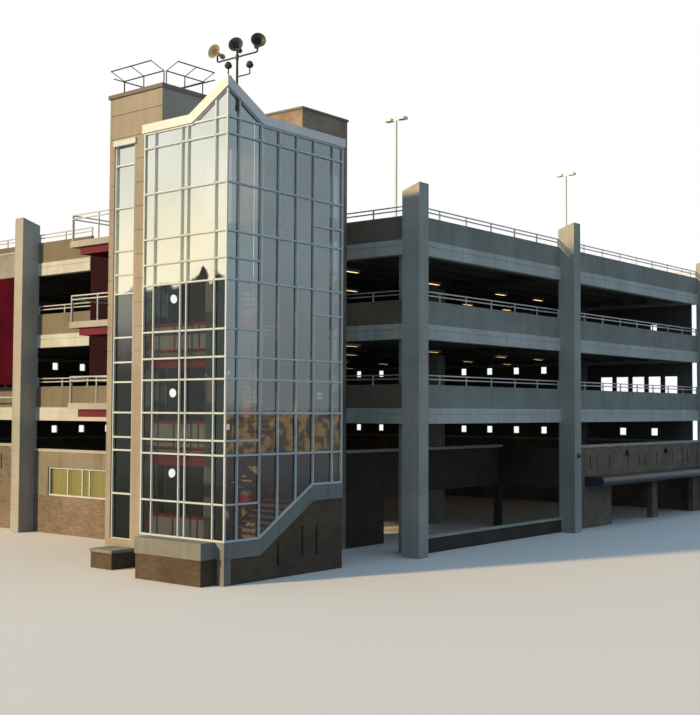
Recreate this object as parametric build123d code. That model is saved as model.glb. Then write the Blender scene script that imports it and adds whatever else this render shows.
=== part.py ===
from build123d import *
import os

# Multi storey car park with a glazed stair tower, in millimetres, Z up.
# The site plan is drawn from the tower's front right corner: X runs to the right along the
# front, Y runs back. The origin is the middle of the concrete post that stands in that corner.

# Parking levels, each the height of its floor above the ground
level_1 = 2600
level_2 = 5700
storey = 3250
level_3 = level_2 + storey
roof_level = level_3 + storey
upper_levels = (level_2, level_3, roof_level)

# Plan of the decks: planes of the outer faces
right_plane = -100
front_plane = 5900
corner_plane = 10030
rear_plane = 37000
left_plane = -30430
notch_x = -7200

# Piers: fins that stand out of the facades, with tops that fall back towards the building
pier_thickness = 600
pier_reach = 800
right_pier_reach = 700
pier_hold = 100
pier_inner = 700
pier_top = 14020
pier_fall = 270
middle_line = 21660
front_pier_x = -18400
left_pier_x = -30400
rear_pier_xs = (left_pier_x, front_pier_x, notch_x)

# Spandrels: a plain upper face over a band that stands proud, and a ledge for the floor
spandrel_top = 750
spandrel_bottom = 750
spandrel_thickness = 200
band_height = 560
band_proud = 50
groove = 25
groove_rise = 350
ledge_width = 150

# Floors: flat slabs on stems that run from front to back
slab_thickness = 150
stem_depth = 450
stem_width = 160
stem_spacing = 1520
deck_joint = 20
beam_web = 300
column_side = 600

# Parapet rails
rail_height = 1140
rail_drop = 150
rail_bar = 45
rail_post_gap = 1900

# Brick walls at the ground
brick_thickness = 300
wall_top = 3750
coping_thickness = 120
coping_overhang = 30
slot_width = 90
slot_bottom = 2700
slot_height = 700
slot_group = 5270
slot_steps = (0, 1310, 1960, 3290)
slot_first = 900
slot_margin = 300
door_head = 2300
entrance_width = 4600
entrance_starts = (26300, 31500)

# Set back wall beside the covered walk
arcade_x = -3400
arcade_open_y = 12500
arcade_sill = 2000
arcade_start = 10030
kerb_height = 560
kerb_thickness = 200
kerb_coping = 80

# Screens between the storeys of the rear and left facades
screen_thickness = 100
screen_inset = 60
comb_pitch = 1000
comb_opening = 750
comb_height = 1000
screen_pitch = 1950
screen_opening = 400
screen_opening_height = 400
screen_opening_rises = (230, 1300, 320)

# Office window bay at the front
office_right = -11500
office_sill = 1650
office_head = 2900
office_window_left = -17100
office_jamb = 220
office_wall_top = 3570
office_mullions = (-15760, -14750, -14260, -12900)
office_frame_set = 60
office_frame_depth = 80

# Glazed stair tower
tower_width = 3980
tower_depth = 5710
tower_wall = 190
post_side = 300
frame_depth = 60
frame_bar = 60
glass_thickness = 24
front_mullions = (550, 1840, 2130, 3430)
right_mullions = (550, 1560, 2420, 3300, 4170, 5160)
transoms = (2490, 4020, 4480, 5345, 6420, 7120, 8000, 9560, 10250, 11100, 12640, 14180)
full_right_transoms = (4020, 5345, 6420, 7120, 9560, 11100, 12640, 14180)
front_zone_transoms = (2490, 4480, 8000, 10250)
rear_zone_transoms = (8700, 11750)
sill_low = 1330
sill_high = 2930
rake_start = 1590
rake_end = 4180
base_slots = ((870, 410, 1150), (2060, 630, 1590), (2780, 560, 1570))
sill_band = 520
band_out = 30
head_height = 14720
cap_height = 290
cap_depth = 170
cap_out = 50
peak_run = 1600
peak_rise = 960
head_drop = 30
cap_knee = 150
peak_cap = 350
roof_plate = 100
roof_drop = 60
rear_mullions = (1460, 2800)
brick_gap = 5
sill_gap = 50

# Stairs inside the tower
landing_slab = 160
half_landing_depth = 1450
main_landing_depth = 1500
half_landing_inset = 200
first_half_landing = 1100
flight_width = 1500
flight_gap = 200
tread_thickness = 60
riser = 170
stringer_thickness = 40
stringer_lip = 50
stringer_drop = 120
edge_beam_width = 90
edge_beam_depth = 350
beam_joint = 5
stair_guard_height = 950
stair_guard_bar = 50
stair_guard_spans = 3

# Lift shaft
shaft_right = -4400
shaft_width = 2800
shaft_front = 1150
shaft_depth = 2150
shaft_wall = 250
shaft_top = 16650
coping_cap = 140
coping_out = 60
strip_left = -6930
strip_right = -5830
strip_bottom = 900
strip_top = 15080
strip_frame_set = 40
strip_frame_depth = 80
panel_height = 850
panel_first = 16000
panel_groove = 25

# Brick core behind the tower
core_right = -3400
core_front = 7330
core_wall = 300
core_top = 17000
core_coping = 90
core_coping_out = 40

# Landings that join tower, lift and decks
landing_left = -12300
landing_thickness = 250
channel_height = 300
channel_width = 120
channel_inset = 500
channel_set_back = 125
guard_height = 1070
guard_inset = 60

# Plinths against the tower's front
plinth_depth = 600
plinth_left = -3460
plinth_right = -410
bench_left = -6640
bench_right = -5520
bench_front = 100
bench_top = 650
bench_cap = 100

# Awning over the vehicle entrance
awning_start = 23600
awning_bottom = 1980
awning_height = 420
awning_reach = 900

# Upright panel and cloth banner
panel_left = -14350
panel_width = 1350
panel_bottom = 6900
panel_top = 12150
panel_thickness = 60
banner_width = 3400
banner_top = 12450
banner_drop = 5900
low_rod = 5970
banner_gap = 150
banner_set_back = 100
banner_thickness = 30
rod_radius = 35

# Roof lights, guard frames and mast
light_pole_radius = 70
light_pole_top = 18850
light_poles = ((-6000, 16700), (-6000, 32660))
light_arm = 380
light_arm_side = 80
light_head_length = 380
light_head_width = 340
light_head_height = 120
guard_tube = 45
guard_rise = 500
guard_lift = 220
guard_left_inset = 450
guard_front_inset = 200
guard_inset_far = 100
guard_corner_gap = 60
guard_lean = 600
mast_x = -60
mast_y = 450
mast_radius = 40
mast_rise = 1950
arm_rise = 1680
arm_reach = 900
arm_end = 230
arm_radius = 28
horn_headings = (-110, -68, -39)
horn_tilt = 8
horn_stand = 60
horn_mouth = 240
horn_waist = 84
horn_waist_rise = 210
horn_throat = 60
horn_driver = 78
horn_depth = 380
horn_skin = 14
dome_radius = 120
dome_rise = 1330
dome_reach = 560
dome_stem = 170
dome_stem_radius = 22
peak_dome_rise = 300


def block(x0, x1, y0, y1, z0, z1):
    """A box between two corners."""
    middle = Pos((x0 + x1) / 2, (y0 + y1) / 2, (z0 + z1) / 2)
    return middle * Box(abs(x1 - x0), abs(y1 - y0), abs(z1 - z0))


def across_x(points, x0, x1):
    """An outline of (y, z) points, carried from x0 to x1."""
    face = make_face(Polyline([(x0, y, z) for y, z in points], close=True))
    return extrude(face, amount=x1 - x0, dir=(1, 0, 0))


def across_y(points, y0, y1):
    """An outline of (x, z) points, carried from y0 to y1."""
    face = make_face(Polyline([(x, y0, z) for x, z in points], close=True))
    return extrude(face, amount=y1 - y0, dir=(0, 1, 0))


def across_z(points, z0, z1):
    """An outline of (x, y) points, carried from z0 to z1."""
    face = make_face(Polyline([(x, y, z0) for x, y in points], close=True))
    return extrude(face, amount=z1 - z0, dir=(0, 0, 1))


def save(name, *pieces):
    """Writes the pieces as one node, moved so that the corner post is on the origin."""
    solids = []
    for piece in pieces:
        solids.extend((Pos(post_side / 2, -post_side / 2, 0) * piece).solids())
    export_step(Compound(children=solids), f"parts/{name}.step")


os.makedirs("parts", exist_ok=True)


# Spandrels

def spandrel_section(floor):
    """Outline of a spandrel as (distance behind its outer face, height)."""
    low = floor - spandrel_bottom
    band_top = low + band_height
    ledge_top = floor - slab_thickness - stem_depth
    inner = spandrel_thickness
    return [
        (0, low), (0, low + groove_rise), (groove, low + groove_rise),
        (groove, low + groove_rise + groove), (0, low + groove_rise + groove), (0, band_top),
        (band_proud, band_top + band_proud / 2), (band_proud, floor + spandrel_top),
        (inner, floor + spandrel_top), (inner, ledge_top), (inner + ledge_width, ledge_top),
        (inner + ledge_width, low),
    ]


def spandrel_along_x(plane, outward, x0, x1, floor):
    return across_x([(plane - outward * d, z) for d, z in spandrel_section(floor)], x0, x1)


def spandrel_along_y(plane, outward, y0, y1, floor):
    return across_y([(plane - outward * d, z) for d, z in spandrel_section(floor)], y0, y1)


half_pier = pier_thickness / 2
front_bay_a = (left_pier_x + half_pier, front_pier_x - half_pier)
front_bay_b = (front_pier_x + half_pier, panel_left)
front_bay_b_low = (front_pier_x + half_pier, notch_x - column_side / 2)
right_bay_1 = (corner_plane, middle_line - half_pier)
right_bay_2 = (middle_line + half_pier, rear_plane)
left_bay_1 = (front_plane + pier_inner, middle_line - half_pier)
left_bay_2 = (middle_line + half_pier, rear_plane - pier_inner)
rear_bays = (
    (left_pier_x + half_pier, front_pier_x - half_pier),
    (front_pier_x + half_pier, notch_x - half_pier),
    (notch_x + half_pier, right_plane - spandrel_thickness - ledge_width),
)
corner_bay = (notch_x, right_plane - spandrel_thickness - ledge_width)

front_runs = []
for floor in upper_levels:
    front_runs.append((front_plane, -1, *front_bay_a, floor))
    bay = front_bay_b_low if floor == level_2 else front_bay_b
    front_runs.append((front_plane, -1, *bay, floor))
corner_runs = [(corner_plane, -1, *corner_bay, floor) for floor in upper_levels]
rear_runs = [(rear_plane, 1, *bay, floor) for floor in upper_levels for bay in rear_bays]
right_bays = (right_bay_1, right_bay_2)
left_bays = (left_bay_1, left_bay_2)
right_runs = [(right_plane, 1, *bay, floor) for floor in upper_levels for bay in right_bays]
left_runs = [(left_plane, -1, *bay, floor) for floor in upper_levels for bay in left_bays]
save("front_spandrels", *[spandrel_along_x(*run) for run in front_runs + corner_runs])
save("rear_spandrels", *[spandrel_along_x(*run) for run in rear_runs])
save("right_spandrels", *[spandrel_along_y(*run) for run in right_runs])
save("left_spandrels", *[spandrel_along_y(*run) for run in left_runs])


# Piers

def slim_pier(plane, outward, reach):
    """Side view of a fin as (position, height), with a top that falls back to the spandrel."""
    outer = plane + outward * reach
    back = plane - outward * pier_hold
    return [(outer, 0), (outer, pier_top), (back, pier_top - pier_fall), (back, 0)]


def deep_pier(plane, outward):
    """Side view of a fin that also stands inside the facade, up to the roof deck."""
    outer = plane + outward * pier_reach
    back = plane - outward * spandrel_thickness
    inner = plane - outward * pier_inner
    return [(outer, 0), (outer, pier_top), (back, pier_top - pier_fall), (back, roof_level),
            (inner, roof_level), (inner, 0)]


right_fin = slim_pier(right_plane, 1, right_pier_reach)
left_fin = deep_pier(left_plane, -1)
rear_fin = deep_pier(rear_plane, 1)
right_pier_ys = (corner_plane - half_pier, middle_line, rear_plane + half_pier)
save("piers",
     *[across_y(right_fin, y - half_pier, y + half_pier) for y in right_pier_ys],
     across_y(left_fin, middle_line - half_pier, middle_line + half_pier),
     across_x(deep_pier(front_plane, -1), left_pier_x - half_pier, left_pier_x + half_pier),
     across_x(slim_pier(front_plane, -1, pier_reach), front_pier_x - half_pier, front_pier_x + half_pier),
     *[across_x(rear_fin, x - half_pier, x + half_pier) for x in rear_pier_xs])


# Inner columns and the beams of the middle line

half_column = column_side / 2
column_spots = [
    (front_pier_x, middle_line),
    (notch_x, middle_line),
    (notch_x, front_plane + spandrel_thickness + ledge_width + half_column),
    (notch_x, corner_plane + spandrel_thickness + ledge_width + half_column),
    (right_plane - spandrel_thickness - ledge_width - half_column,
     corner_plane + spandrel_thickness + ledge_width + half_column),
]
columns = [
    block(x - half_column, x + half_column, y - half_column, y + half_column, 0, roof_level)
    for x, y in column_spots
]
save("inner_columns", *columns)

beam_spans = (
    (left_plane + pier_inner, front_pier_x - half_column),
    (front_pier_x + half_column, notch_x - half_column),
    (notch_x + half_column, right_plane - pier_hold),
)


def beam_section(floor):
    """An upside down T: a web between two ledges."""
    web = beam_web / 2
    wide = web + ledge_width
    ledge = floor - slab_thickness - stem_depth
    low = floor - spandrel_bottom
    return [
        (middle_line - wide, low), (middle_line + wide, low), (middle_line + wide, ledge),
        (middle_line + web, ledge), (middle_line + web, floor), (middle_line - web, floor),
        (middle_line - web, ledge), (middle_line - wide, ledge),
    ]


beams = [across_x(beam_section(floor), x0, x1) for floor in upper_levels for x0, x1 in beam_spans]
save("middle_beams", *beams)


# Decks

def deck_panel(x0, x1, y0, y1, floor):
    """A slab on stems, whose ends sit on the ledges of the spandrels and beams."""
    slab = block(x0, x1, y0, y1, floor - slab_thickness, floor)
    stems = []
    low = floor - slab_thickness - stem_depth
    count = int((x1 - x0 - stem_spacing) // stem_spacing) + 1
    first = (x0 + x1) / 2 - (count - 1) * stem_spacing / 2
    for n in range(count):
        middle = first + n * stem_spacing
        left, right = middle - stem_width / 2, middle + stem_width / 2
        stems.append(block(left, right, y0, y1, low, floor - slab_thickness))
    return slab + stems


deck_left = left_plane + spandrel_thickness + deck_joint
deck_right = right_plane - spandrel_thickness - deck_joint
deck_rear = rear_plane - spandrel_thickness - deck_joint
beam_edge = beam_web / 2 + deck_joint
deck_front_a = front_plane + spandrel_thickness + deck_joint
deck_front_b = corner_plane + spandrel_thickness + deck_joint


def deck(floor):
    """The three panels of one level, with gaps round the columns and piers."""
    panels = [
        deck_panel(deck_left, notch_x - deck_joint, deck_front_a, middle_line - beam_edge, floor),
        deck_panel(notch_x + deck_joint, deck_right, deck_front_b, middle_line - beam_edge, floor),
        deck_panel(deck_left, deck_right, middle_line + beam_edge, deck_rear, floor),
    ]
    wide_column = half_column + deck_joint
    wide_pier = half_pier + deck_joint
    deep = pier_inner + deck_joint
    low, high = floor - storey / 2, floor + deck_joint
    holes = [
        block(x - wide_column, x + wide_column, y - wide_column, y + wide_column, low, high)
        for x, y in column_spots
    ]
    holes.append(block(left_pier_x - wide_pier, left_pier_x + wide_pier, front_plane, front_plane + deep, low,
                       high))
    for x in rear_pier_xs:
        holes.append(block(x - wide_pier, x + wide_pier, rear_plane - deep, rear_plane, low, high))
    holes.append(block(left_plane, left_plane + deep, middle_line - wide_pier, middle_line + wide_pier, low,
                       high))
    return [panel - holes for panel in panels]


for name, floor in (("deck_2", level_2), ("deck_3", level_3), ("deck_roof", roof_level)):
    save(name, *deck(floor))


# Parapet rails

def rail_run(length, height):
    """Two level bars on posts, along +X from the origin, standing on Z 0."""
    bars = block(0, length, -rail_bar / 2, rail_bar / 2, height - rail_bar, height)
    second = height - rail_drop
    bars += block(0, length, -rail_bar / 2, rail_bar / 2, second - rail_bar, second)
    spans = max(1, round(length / rail_post_gap))
    for n in range(spans + 1):
        x = rail_bar / 2 + n * (length - rail_bar) / spans
        bars += block(x - rail_bar / 2, x + rail_bar / 2, -rail_bar / 2, rail_bar / 2, 0, height - rail_bar)
    return bars


rail_line = (spandrel_thickness + band_proud) / 2
rail_rise = rail_height - spandrel_top
rails = []
rear_roof_runs = [run for run in rear_runs if run[-1] == roof_level]
left_roof_runs = [run for run in left_runs if run[-1] == roof_level]
for plane, outward, x0, x1, floor in front_runs + corner_runs + rear_roof_runs:
    place = Pos(x0, plane - outward * rail_line, floor + spandrel_top)
    rails.append(place * rail_run(x1 - x0, rail_rise))
for plane, outward, y0, y1, floor in right_runs + left_roof_runs:
    place = Pos(plane - outward * rail_line, y0, floor + spandrel_top) * Rot(0, 0, 90)
    rails.append(place * rail_run(y1 - y0, rail_rise))
save("parapet_rails", *rails)


# Brick walls at the ground, with concrete copings

def slots_along(y0, y1):
    """Middles of the narrow slots, in groups of four."""
    spots = []
    start = y0 + slot_first
    while start < y1:
        spots += [start + step for step in slot_steps if start + step < y1 - slot_margin]
        start += slot_group
    return spots


def wall_along_x(plane, outward, x0, x1):
    inner = plane - outward * brick_thickness
    half = slot_width / 2
    slots = [
        block(x - half, x + half, plane + outward, inner - outward, slot_bottom, slot_bottom + slot_height)
        for x in slots_along(x0, x1)
    ]
    return block(x0, x1, plane, inner, 0, wall_top) - slots


def wall_along_y(plane, outward, y0, y1):
    inner = plane - outward * brick_thickness
    half = slot_width / 2
    slots = [
        block(plane + outward, inner - outward, y - half, y + half, slot_bottom, slot_bottom + slot_height)
        for y in slots_along(y0, y1)
    ]
    return block(plane, inner, y0, y1, 0, wall_top) - slots


def coping_x(plane, outward, x0, x1, top=wall_top):
    out = plane + outward * coping_overhang
    inner = plane - outward * (brick_thickness + coping_overhang)
    return block(x0, x1, out, inner, top, top + coping_thickness)


def coping_y(plane, outward, y0, y1, top=wall_top):
    out = plane + outward * coping_overhang
    inner = plane - outward * (brick_thickness + coping_overhang)
    return block(out, inner, y0, y1, top, top + coping_thickness)


right_wall = wall_along_y(right_plane, 1, *right_bay_2)
for start in entrance_starts:
    right_wall -= block(right_plane + 1, right_plane - brick_thickness - 1, start, start + entrance_width,
                        -1, door_head)
save("right_brick_wall", right_wall)
rear_wall_bays = (rear_bays[0], rear_bays[1], (rear_bays[2][0], right_plane - brick_thickness))
brick_walls = [wall_along_x(front_plane, -1, *front_bay_a)]
brick_walls += [wall_along_y(left_plane, -1, *bay) for bay in left_bays]
brick_walls += [wall_along_x(rear_plane, 1, *bay) for bay in rear_wall_bays]
save("brick_walls", *brick_walls)

arcade_back = arcade_x - brick_thickness
arcade_end = middle_line - brick_thickness
arcade_wall = block(arcade_back, arcade_x, arcade_start, middle_line, 0, wall_top)
arcade_wall -= block(arcade_back - 1, arcade_x + 1, arcade_open_y, arcade_end, -1, arcade_sill)
arcade_wall += block(arcade_x, right_plane - pier_hold, arcade_end, middle_line, arcade_sill, wall_top)
kerb = block(right_plane - kerb_thickness, right_plane, *right_bay_1, 0, kerb_height)
save("arcade_walls", arcade_wall, kerb)

office_left = front_pier_x + half_pier
office_inside = front_plane + brick_thickness
window_right = office_right - office_jamb
office_wall = block(office_left, office_right, front_plane, office_inside, 0, office_wall_top)
office_wall -= block(office_window_left, window_right, front_plane - 1, office_inside + 1, office_sill,
                     office_head)
office_wall += block(office_right - brick_thickness, office_right, office_inside, corner_plane, 0,
                     office_wall_top)
save("office_wall", office_wall)
half_bar = frame_bar / 2
frame_near = front_plane + office_frame_set
frame_far = frame_near + office_frame_depth
office_frame = block(office_window_left, window_right, frame_near, frame_far, office_sill, office_head)
edges = (office_window_left + half_bar, *office_mullions, window_right - half_bar)
for left, right in zip(edges, edges[1:]):
    office_frame -= block(left + half_bar, right - half_bar, frame_near - 1, frame_far + 1,
                          office_sill + frame_bar, office_head - frame_bar)
office_glass = block(office_window_left, window_right, frame_far, frame_far + glass_thickness, office_sill,
                     office_head)

copings = [
    coping_y(right_plane, 1, *right_bay_2),
    coping_x(front_plane, -1, *front_bay_a),
    *[coping_y(left_plane, -1, *bay) for bay in left_bays],
    *[coping_x(rear_plane, 1, *bay) for bay in rear_wall_bays[:2]],
    coping_x(rear_plane, 1, rear_wall_bays[2][0], right_plane - brick_thickness - coping_overhang),
    coping_y(arcade_x, 1, arcade_start, middle_line),
    coping_x(front_plane, -1, office_left, office_right, office_wall_top),
    block(right_plane - kerb_thickness - coping_overhang, right_plane + coping_overhang, *right_bay_1,
          kerb_height, kerb_height + kerb_coping),
]
save("wall_copings", *copings)

nose_radius = awning_height / 2
nose_x = awning_reach - nose_radius
awning = block(right_plane, nose_x, awning_start, rear_plane, awning_bottom, awning_bottom + awning_height)
nose = Pos(nose_x, (awning_start + rear_plane) / 2, awning_bottom + nose_radius)
awning += nose * Rot(90, 0, 0) * Cylinder(nose_radius, rear_plane - awning_start)
save("awning", awning)


# Screens that close the far sides between the parapets, with small openings

def screen_holes(length, low, rise, comb):
    """Openings along a screen: (start, end, bottom, top)."""
    pitch, width = (comb_pitch, comb_opening) if comb else (screen_pitch, screen_opening)
    count = int((length - pitch / 2) // pitch)
    first = (length - (count - 1) * pitch - width) / 2
    bottom = low - 1 if comb else low + rise
    top = low + comb_height if comb else bottom + screen_opening_height
    return [(first + n * pitch, first + n * pitch + width, bottom, top) for n in range(count)]


def screen_along_x(plane, outward, x0, x1, low, high, rise, comb=False):
    near = plane - outward * screen_inset
    far = near - outward * screen_thickness
    panel = block(x0, x1, near, far, low, high)
    return panel - [block(x0 + a, x0 + b, near + outward, far - outward, z0, z1)
                    for a, b, z0, z1 in screen_holes(x1 - x0, low, rise, comb)]


def screen_along_y(plane, outward, y0, y1, low, high, rise):
    near = plane - outward * screen_inset
    far = near - outward * screen_thickness
    panel = block(near, far, y0, y1, low, high)
    return panel - [block(near + outward, far - outward, y0 + a, y0 + b, z0, z1)
                    for a, b, z0, z1 in screen_holes(y1 - y0, low, rise, False)]


screens = []
screen_spans = [(wall_top + coping_thickness, level_2 - spandrel_bottom)]
screen_spans += [(floor + spandrel_top, floor + storey - spandrel_bottom) for floor in (level_2, level_3)]
comb_bay = (rear_bays[2][0], right_plane - brick_thickness - coping_overhang)
comb_level = level_2 + spandrel_top
for (low, high), rise in zip(screen_spans, screen_opening_rises):
    for bay in rear_bays[:2]:
        screens.append(screen_along_x(rear_plane, 1, *bay, low, high, rise))
    screens.append(screen_along_x(rear_plane, 1, *comb_bay, low, high, rise, low == comb_level))
    for bay in left_bays:
        screens.append(screen_along_y(left_plane, -1, *bay, low, high, rise))
save("far_screens", *screens)


# Stair tower: base, sill band, post and plinths

def rake(offset):
    """Height of the sill line at the start and end of the stair's rake, moved by an offset."""
    return [(0, sill_low + offset), (rake_start, sill_low + offset), (rake_end, sill_high + offset),
            (tower_depth, sill_high + offset)]


base_low = sill_low - sill_band
base_high = sill_high - sill_band
left_inside = -tower_width + tower_wall
rear_inside = tower_depth - tower_wall
base_right = across_x([(post_side, 0), (tower_depth, 0), (tower_depth, base_high), (rake_end, base_high),
                       (rake_start, base_low), (post_side, base_low)], -tower_wall, 0)
for past_start, z0, z1 in base_slots:
    y = rake_start + past_start
    base_right -= block(-tower_wall - 1, 1, y - slot_width / 2, y + slot_width / 2, z0, z1)
base_front = block(-tower_width, -post_side, 0, tower_wall, 0, base_low)
base_left = block(-tower_width, left_inside, tower_wall, shaft_front, 0, base_low)
base_rear = block(-tower_width, -tower_wall, rear_inside, tower_depth, 0, base_low)
save("tower_brick_base", base_right, base_front + base_left, base_rear)

top = rake(0)
under = rake(-sill_band)
band_right = across_x([*top, *reversed(under)], -tower_wall, band_out)
band_front = block(-tower_width, -tower_wall, -band_out, tower_wall, base_low, sill_low)
band_front += block(-tower_wall, band_out, -band_out, 0, base_low, sill_low)
band_left = block(-tower_width, left_inside, tower_wall, shaft_front, base_low, sill_low)
band_rear = block(-tower_width, -tower_wall, rear_inside, tower_depth, base_low, sill_low)
corner_post = block(-post_side, 0, 0, post_side, 0, base_low)
save("tower_concrete_base", band_right + band_front + band_left + band_rear + corner_post)

plinth = block(plinth_left, plinth_right, -plinth_depth, 0, 0, base_low)
bench = block(bench_left, bench_right, bench_front, shaft_front, 0, bench_top - bench_cap)
save("plinths", plinth, bench)
plinth_cap = block(plinth_left - band_out, plinth_right + band_out, -plinth_depth - band_out, -band_out,
                   base_low, sill_low)
bench_slab = block(bench_left - band_out, bench_right + band_out, bench_front - band_out, shaft_front,
                   bench_top - bench_cap, bench_top)
save("plinth_caps", plinth_cap, bench_slab)


# Stair tower: curtain wall frames, glass, cap and roof

glass_peak = head_height + peak_rise - head_drop
cap_top = head_height + cap_height
cap_peak = glass_peak + peak_cap


def front_outline(margin):
    return [(-tower_width + margin, sill_low + margin), (-margin, sill_low + margin),
            (-margin, glass_peak - margin), (-peak_run - margin / 2, head_height - margin),
            (-tower_width + margin, head_height - margin)]


def right_outline(margin):
    return [(margin, sill_low + margin), (rake_start - margin / 2, sill_low + margin),
            (rake_end - margin / 2, sill_high + margin), (tower_depth - margin, sill_high + margin),
            (tower_depth - margin, head_height - margin), (peak_run + margin / 2, head_height - margin),
            (margin, glass_peak - margin)]


def front_frame():
    frame = across_y(front_outline(0), 0, frame_depth)
    frame -= across_y(front_outline(frame_bar), -1, frame_depth + 1)
    inside = across_y(front_outline(0), 0, frame_depth)
    bars = [block(-x - half_bar, -x + half_bar, 0, frame_depth, sill_low, glass_peak) for x in front_mullions]
    for z in (*transoms, head_height):
        bars.append(block(-tower_width, 0, 0, frame_depth, z - half_bar, z + half_bar))
    return frame + [bar & inside for bar in bars]


def right_frame():
    frame = across_x(right_outline(0), -frame_depth, 0)
    frame -= across_x(right_outline(frame_bar), -frame_depth - 1, 1)
    inside = across_x(right_outline(0), -frame_depth, 0)
    bars = []
    for y in right_mullions:
        bars.append(block(-frame_depth, 0, y - half_bar, y + half_bar, sill_low, glass_peak))
    for z in (*full_right_transoms, head_height):
        bars.append(block(-frame_depth, 0, 0, tower_depth, z - half_bar, z + half_bar))
    for z in front_zone_transoms:
        bars.append(block(-frame_depth, 0, 0, right_mullions[1], z - half_bar, z + half_bar))
    for z in rear_zone_transoms:
        bars.append(block(-frame_depth, 0, right_mullions[4], tower_depth, z - half_bar, z + half_bar))
    corner = block(-frame_depth, 0, 0, frame_depth, sill_low, glass_peak + frame_bar)
    return (frame + [bar & inside for bar in bars]) - corner


rear_face = tower_depth - frame_depth
rear_frame = block(-tower_width + frame_depth, -frame_depth, rear_face, tower_depth, sill_low, head_height)
rear_levels = (sill_low, *transoms, head_height)
rear_edges = (-tower_width + frame_depth, -rear_mullions[1], -rear_mullions[0], -frame_depth)
for z0, z1 in zip(rear_levels, rear_levels[1:]):
    for x0, x1 in zip(rear_edges, rear_edges[1:]):
        rear_frame -= block(x0 + frame_bar, x1 - frame_bar, rear_face - 1, tower_depth + 1, z0 + half_bar,
                            z1 - half_bar)
beside_brick = block(-tower_wall - brick_gap, 1, rear_face - sill_gap, tower_depth + 1, 0, sill_high)
rear_frame -= beside_brick

left_face = -tower_width + frame_depth
side_frame = block(-tower_width, left_face, frame_depth, shaft_front, sill_low, head_height)
for z0, z1 in zip(rear_levels, rear_levels[1:]):
    side_frame -= block(-tower_width - 1, left_face + 1, frame_depth + frame_bar, shaft_front - frame_bar,
                        z0 + half_bar, z1 - half_bar)
save("tower_frame_inner", rear_frame, side_frame)

pane_back = frame_depth + glass_thickness
corner_gap = pane_back + brick_gap
front_glass = across_y(front_outline(half_bar), frame_depth, pane_back)
front_glass &= block(-tower_width + corner_gap, -corner_gap, 0, corner_gap, 0, glass_peak)
right_glass = across_x(right_outline(half_bar), -pane_back, -frame_depth)
right_glass &= block(-corner_gap, 0, corner_gap, tower_depth - corner_gap, 0, glass_peak)
rear_glass = block(left_face, -corner_gap, rear_face - glass_thickness, rear_face, sill_low, head_height)
left_glass = block(left_face, left_face + glass_thickness, corner_gap, shaft_front - half_bar, sill_low,
                   head_height)
save("tower_glass", front_glass, right_glass, rear_glass - beside_brick, left_glass)


def cap_outline(length):
    """The cap as (distance from the corner, height): level, then raked up to the peak."""
    return [(0, glass_peak), (peak_run, head_height), (length, head_height), (length, cap_top),
            (peak_run + cap_knee, cap_top), (0, cap_peak)]


front_cap = across_y([(-u, z) for u, z in cap_outline(tower_width + cap_out)], -cap_out, cap_depth)
right_cap = across_x(cap_outline(tower_depth + cap_out), -cap_depth, cap_out)
corner_cap = block(0, cap_out, -cap_out, 0, glass_peak, cap_peak)
cap_inside = tower_depth - cap_depth
cap_left = -tower_width + cap_depth
rear_cap = block(-tower_width, -cap_depth, cap_inside, tower_depth + cap_out, head_height, cap_top)
left_cap = block(-tower_width - cap_out, cap_left, cap_depth, shaft_front, head_height, cap_top)
tower_cap = front_cap + right_cap + corner_cap + rear_cap + left_cap
save("tower_cap", tower_cap)
save("tower_frame_front", front_frame() - tower_cap)
save("tower_frame_right", right_frame() - tower_cap)

hip_run = peak_run + cap_knee
roof_top = cap_top - roof_drop
roof_outline = [(cap_left, cap_depth), (-hip_run, cap_depth), (-cap_depth, hip_run), (-cap_depth, cap_inside),
                (cap_left, cap_inside)]
tower_roof = across_z(roof_outline, roof_top - roof_plate, roof_top)
hip = make_face(Polyline([(-hip_run, cap_depth, roof_top), (-cap_depth, hip_run, roof_top),
                          (-cap_depth, cap_depth, glass_peak + roof_plate)], close=True))
tower_roof += extrude(hip, amount=roof_plate, dir=(0, 0, -1))
save("tower_roof", tower_roof)


# Stair: landings, treads and stringers

inner_front = tower_wall
inner_right = -inner_front
inner_rear = tower_depth - inner_front
half_landing_edge = inner_front + half_landing_depth
main_landing_edge = inner_rear - main_landing_depth
main_levels = (level_1, level_2, level_3, roof_level)
half_levels = (first_half_landing, *[(a + b) / 2 for a, b in zip(main_levels, main_levels[1:])])
right_flight = (inner_right - flight_width, inner_right)
left_flight = (inner_right - 2 * flight_width - flight_gap, inner_right - flight_width - flight_gap)
half_left = -tower_width + half_landing_inset
landings = []
for z in main_levels:
    landings.append(block(-tower_width, inner_right, main_landing_edge, inner_rear, z - landing_slab, z))
for z in half_levels:
    landings.append(block(half_left, inner_right, inner_front, half_landing_edge, z - landing_slab, z))
save("tower_landings", *landings)

flights = []
for half, main in zip(half_levels, main_levels):
    flights.append((right_flight, half_landing_edge, main_landing_edge, half, main))
for main, half in zip((0, *main_levels), half_levels):
    flights.append((left_flight, main_landing_edge, half_landing_edge, main, half))
treads = []
stringers = []
for (x0, x1), y0, y1, z0, z1 in flights:
    steps = max(2, round((z1 - z0) / riser))
    run = (y1 - y0) / steps
    rise = (z1 - z0) / steps
    for n in range(1, steps):
        y = y0 + (n - 1) * run
        z = z0 + n * rise
        left, right = x0 + stringer_thickness, x1 - stringer_thickness
        treads.append(block(left, right, y, y + run, z - tread_thickness, z))
    foot = [(y0, z0 - stringer_drop)]
    if z0 < stringer_drop:
        foot = [(y0 + stringer_drop * run / rise, 0), (y0, 0)]
    head = z1 + stringer_lip
    outline = [*foot, (y0, z0 + rise + stringer_lip), (y1 - run, head), (y1, head), (y1, z1 - stringer_drop)]
    for x in (x0, x1 - stringer_thickness):
        stringers.append(across_x(outline, x, x + stringer_thickness))
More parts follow.
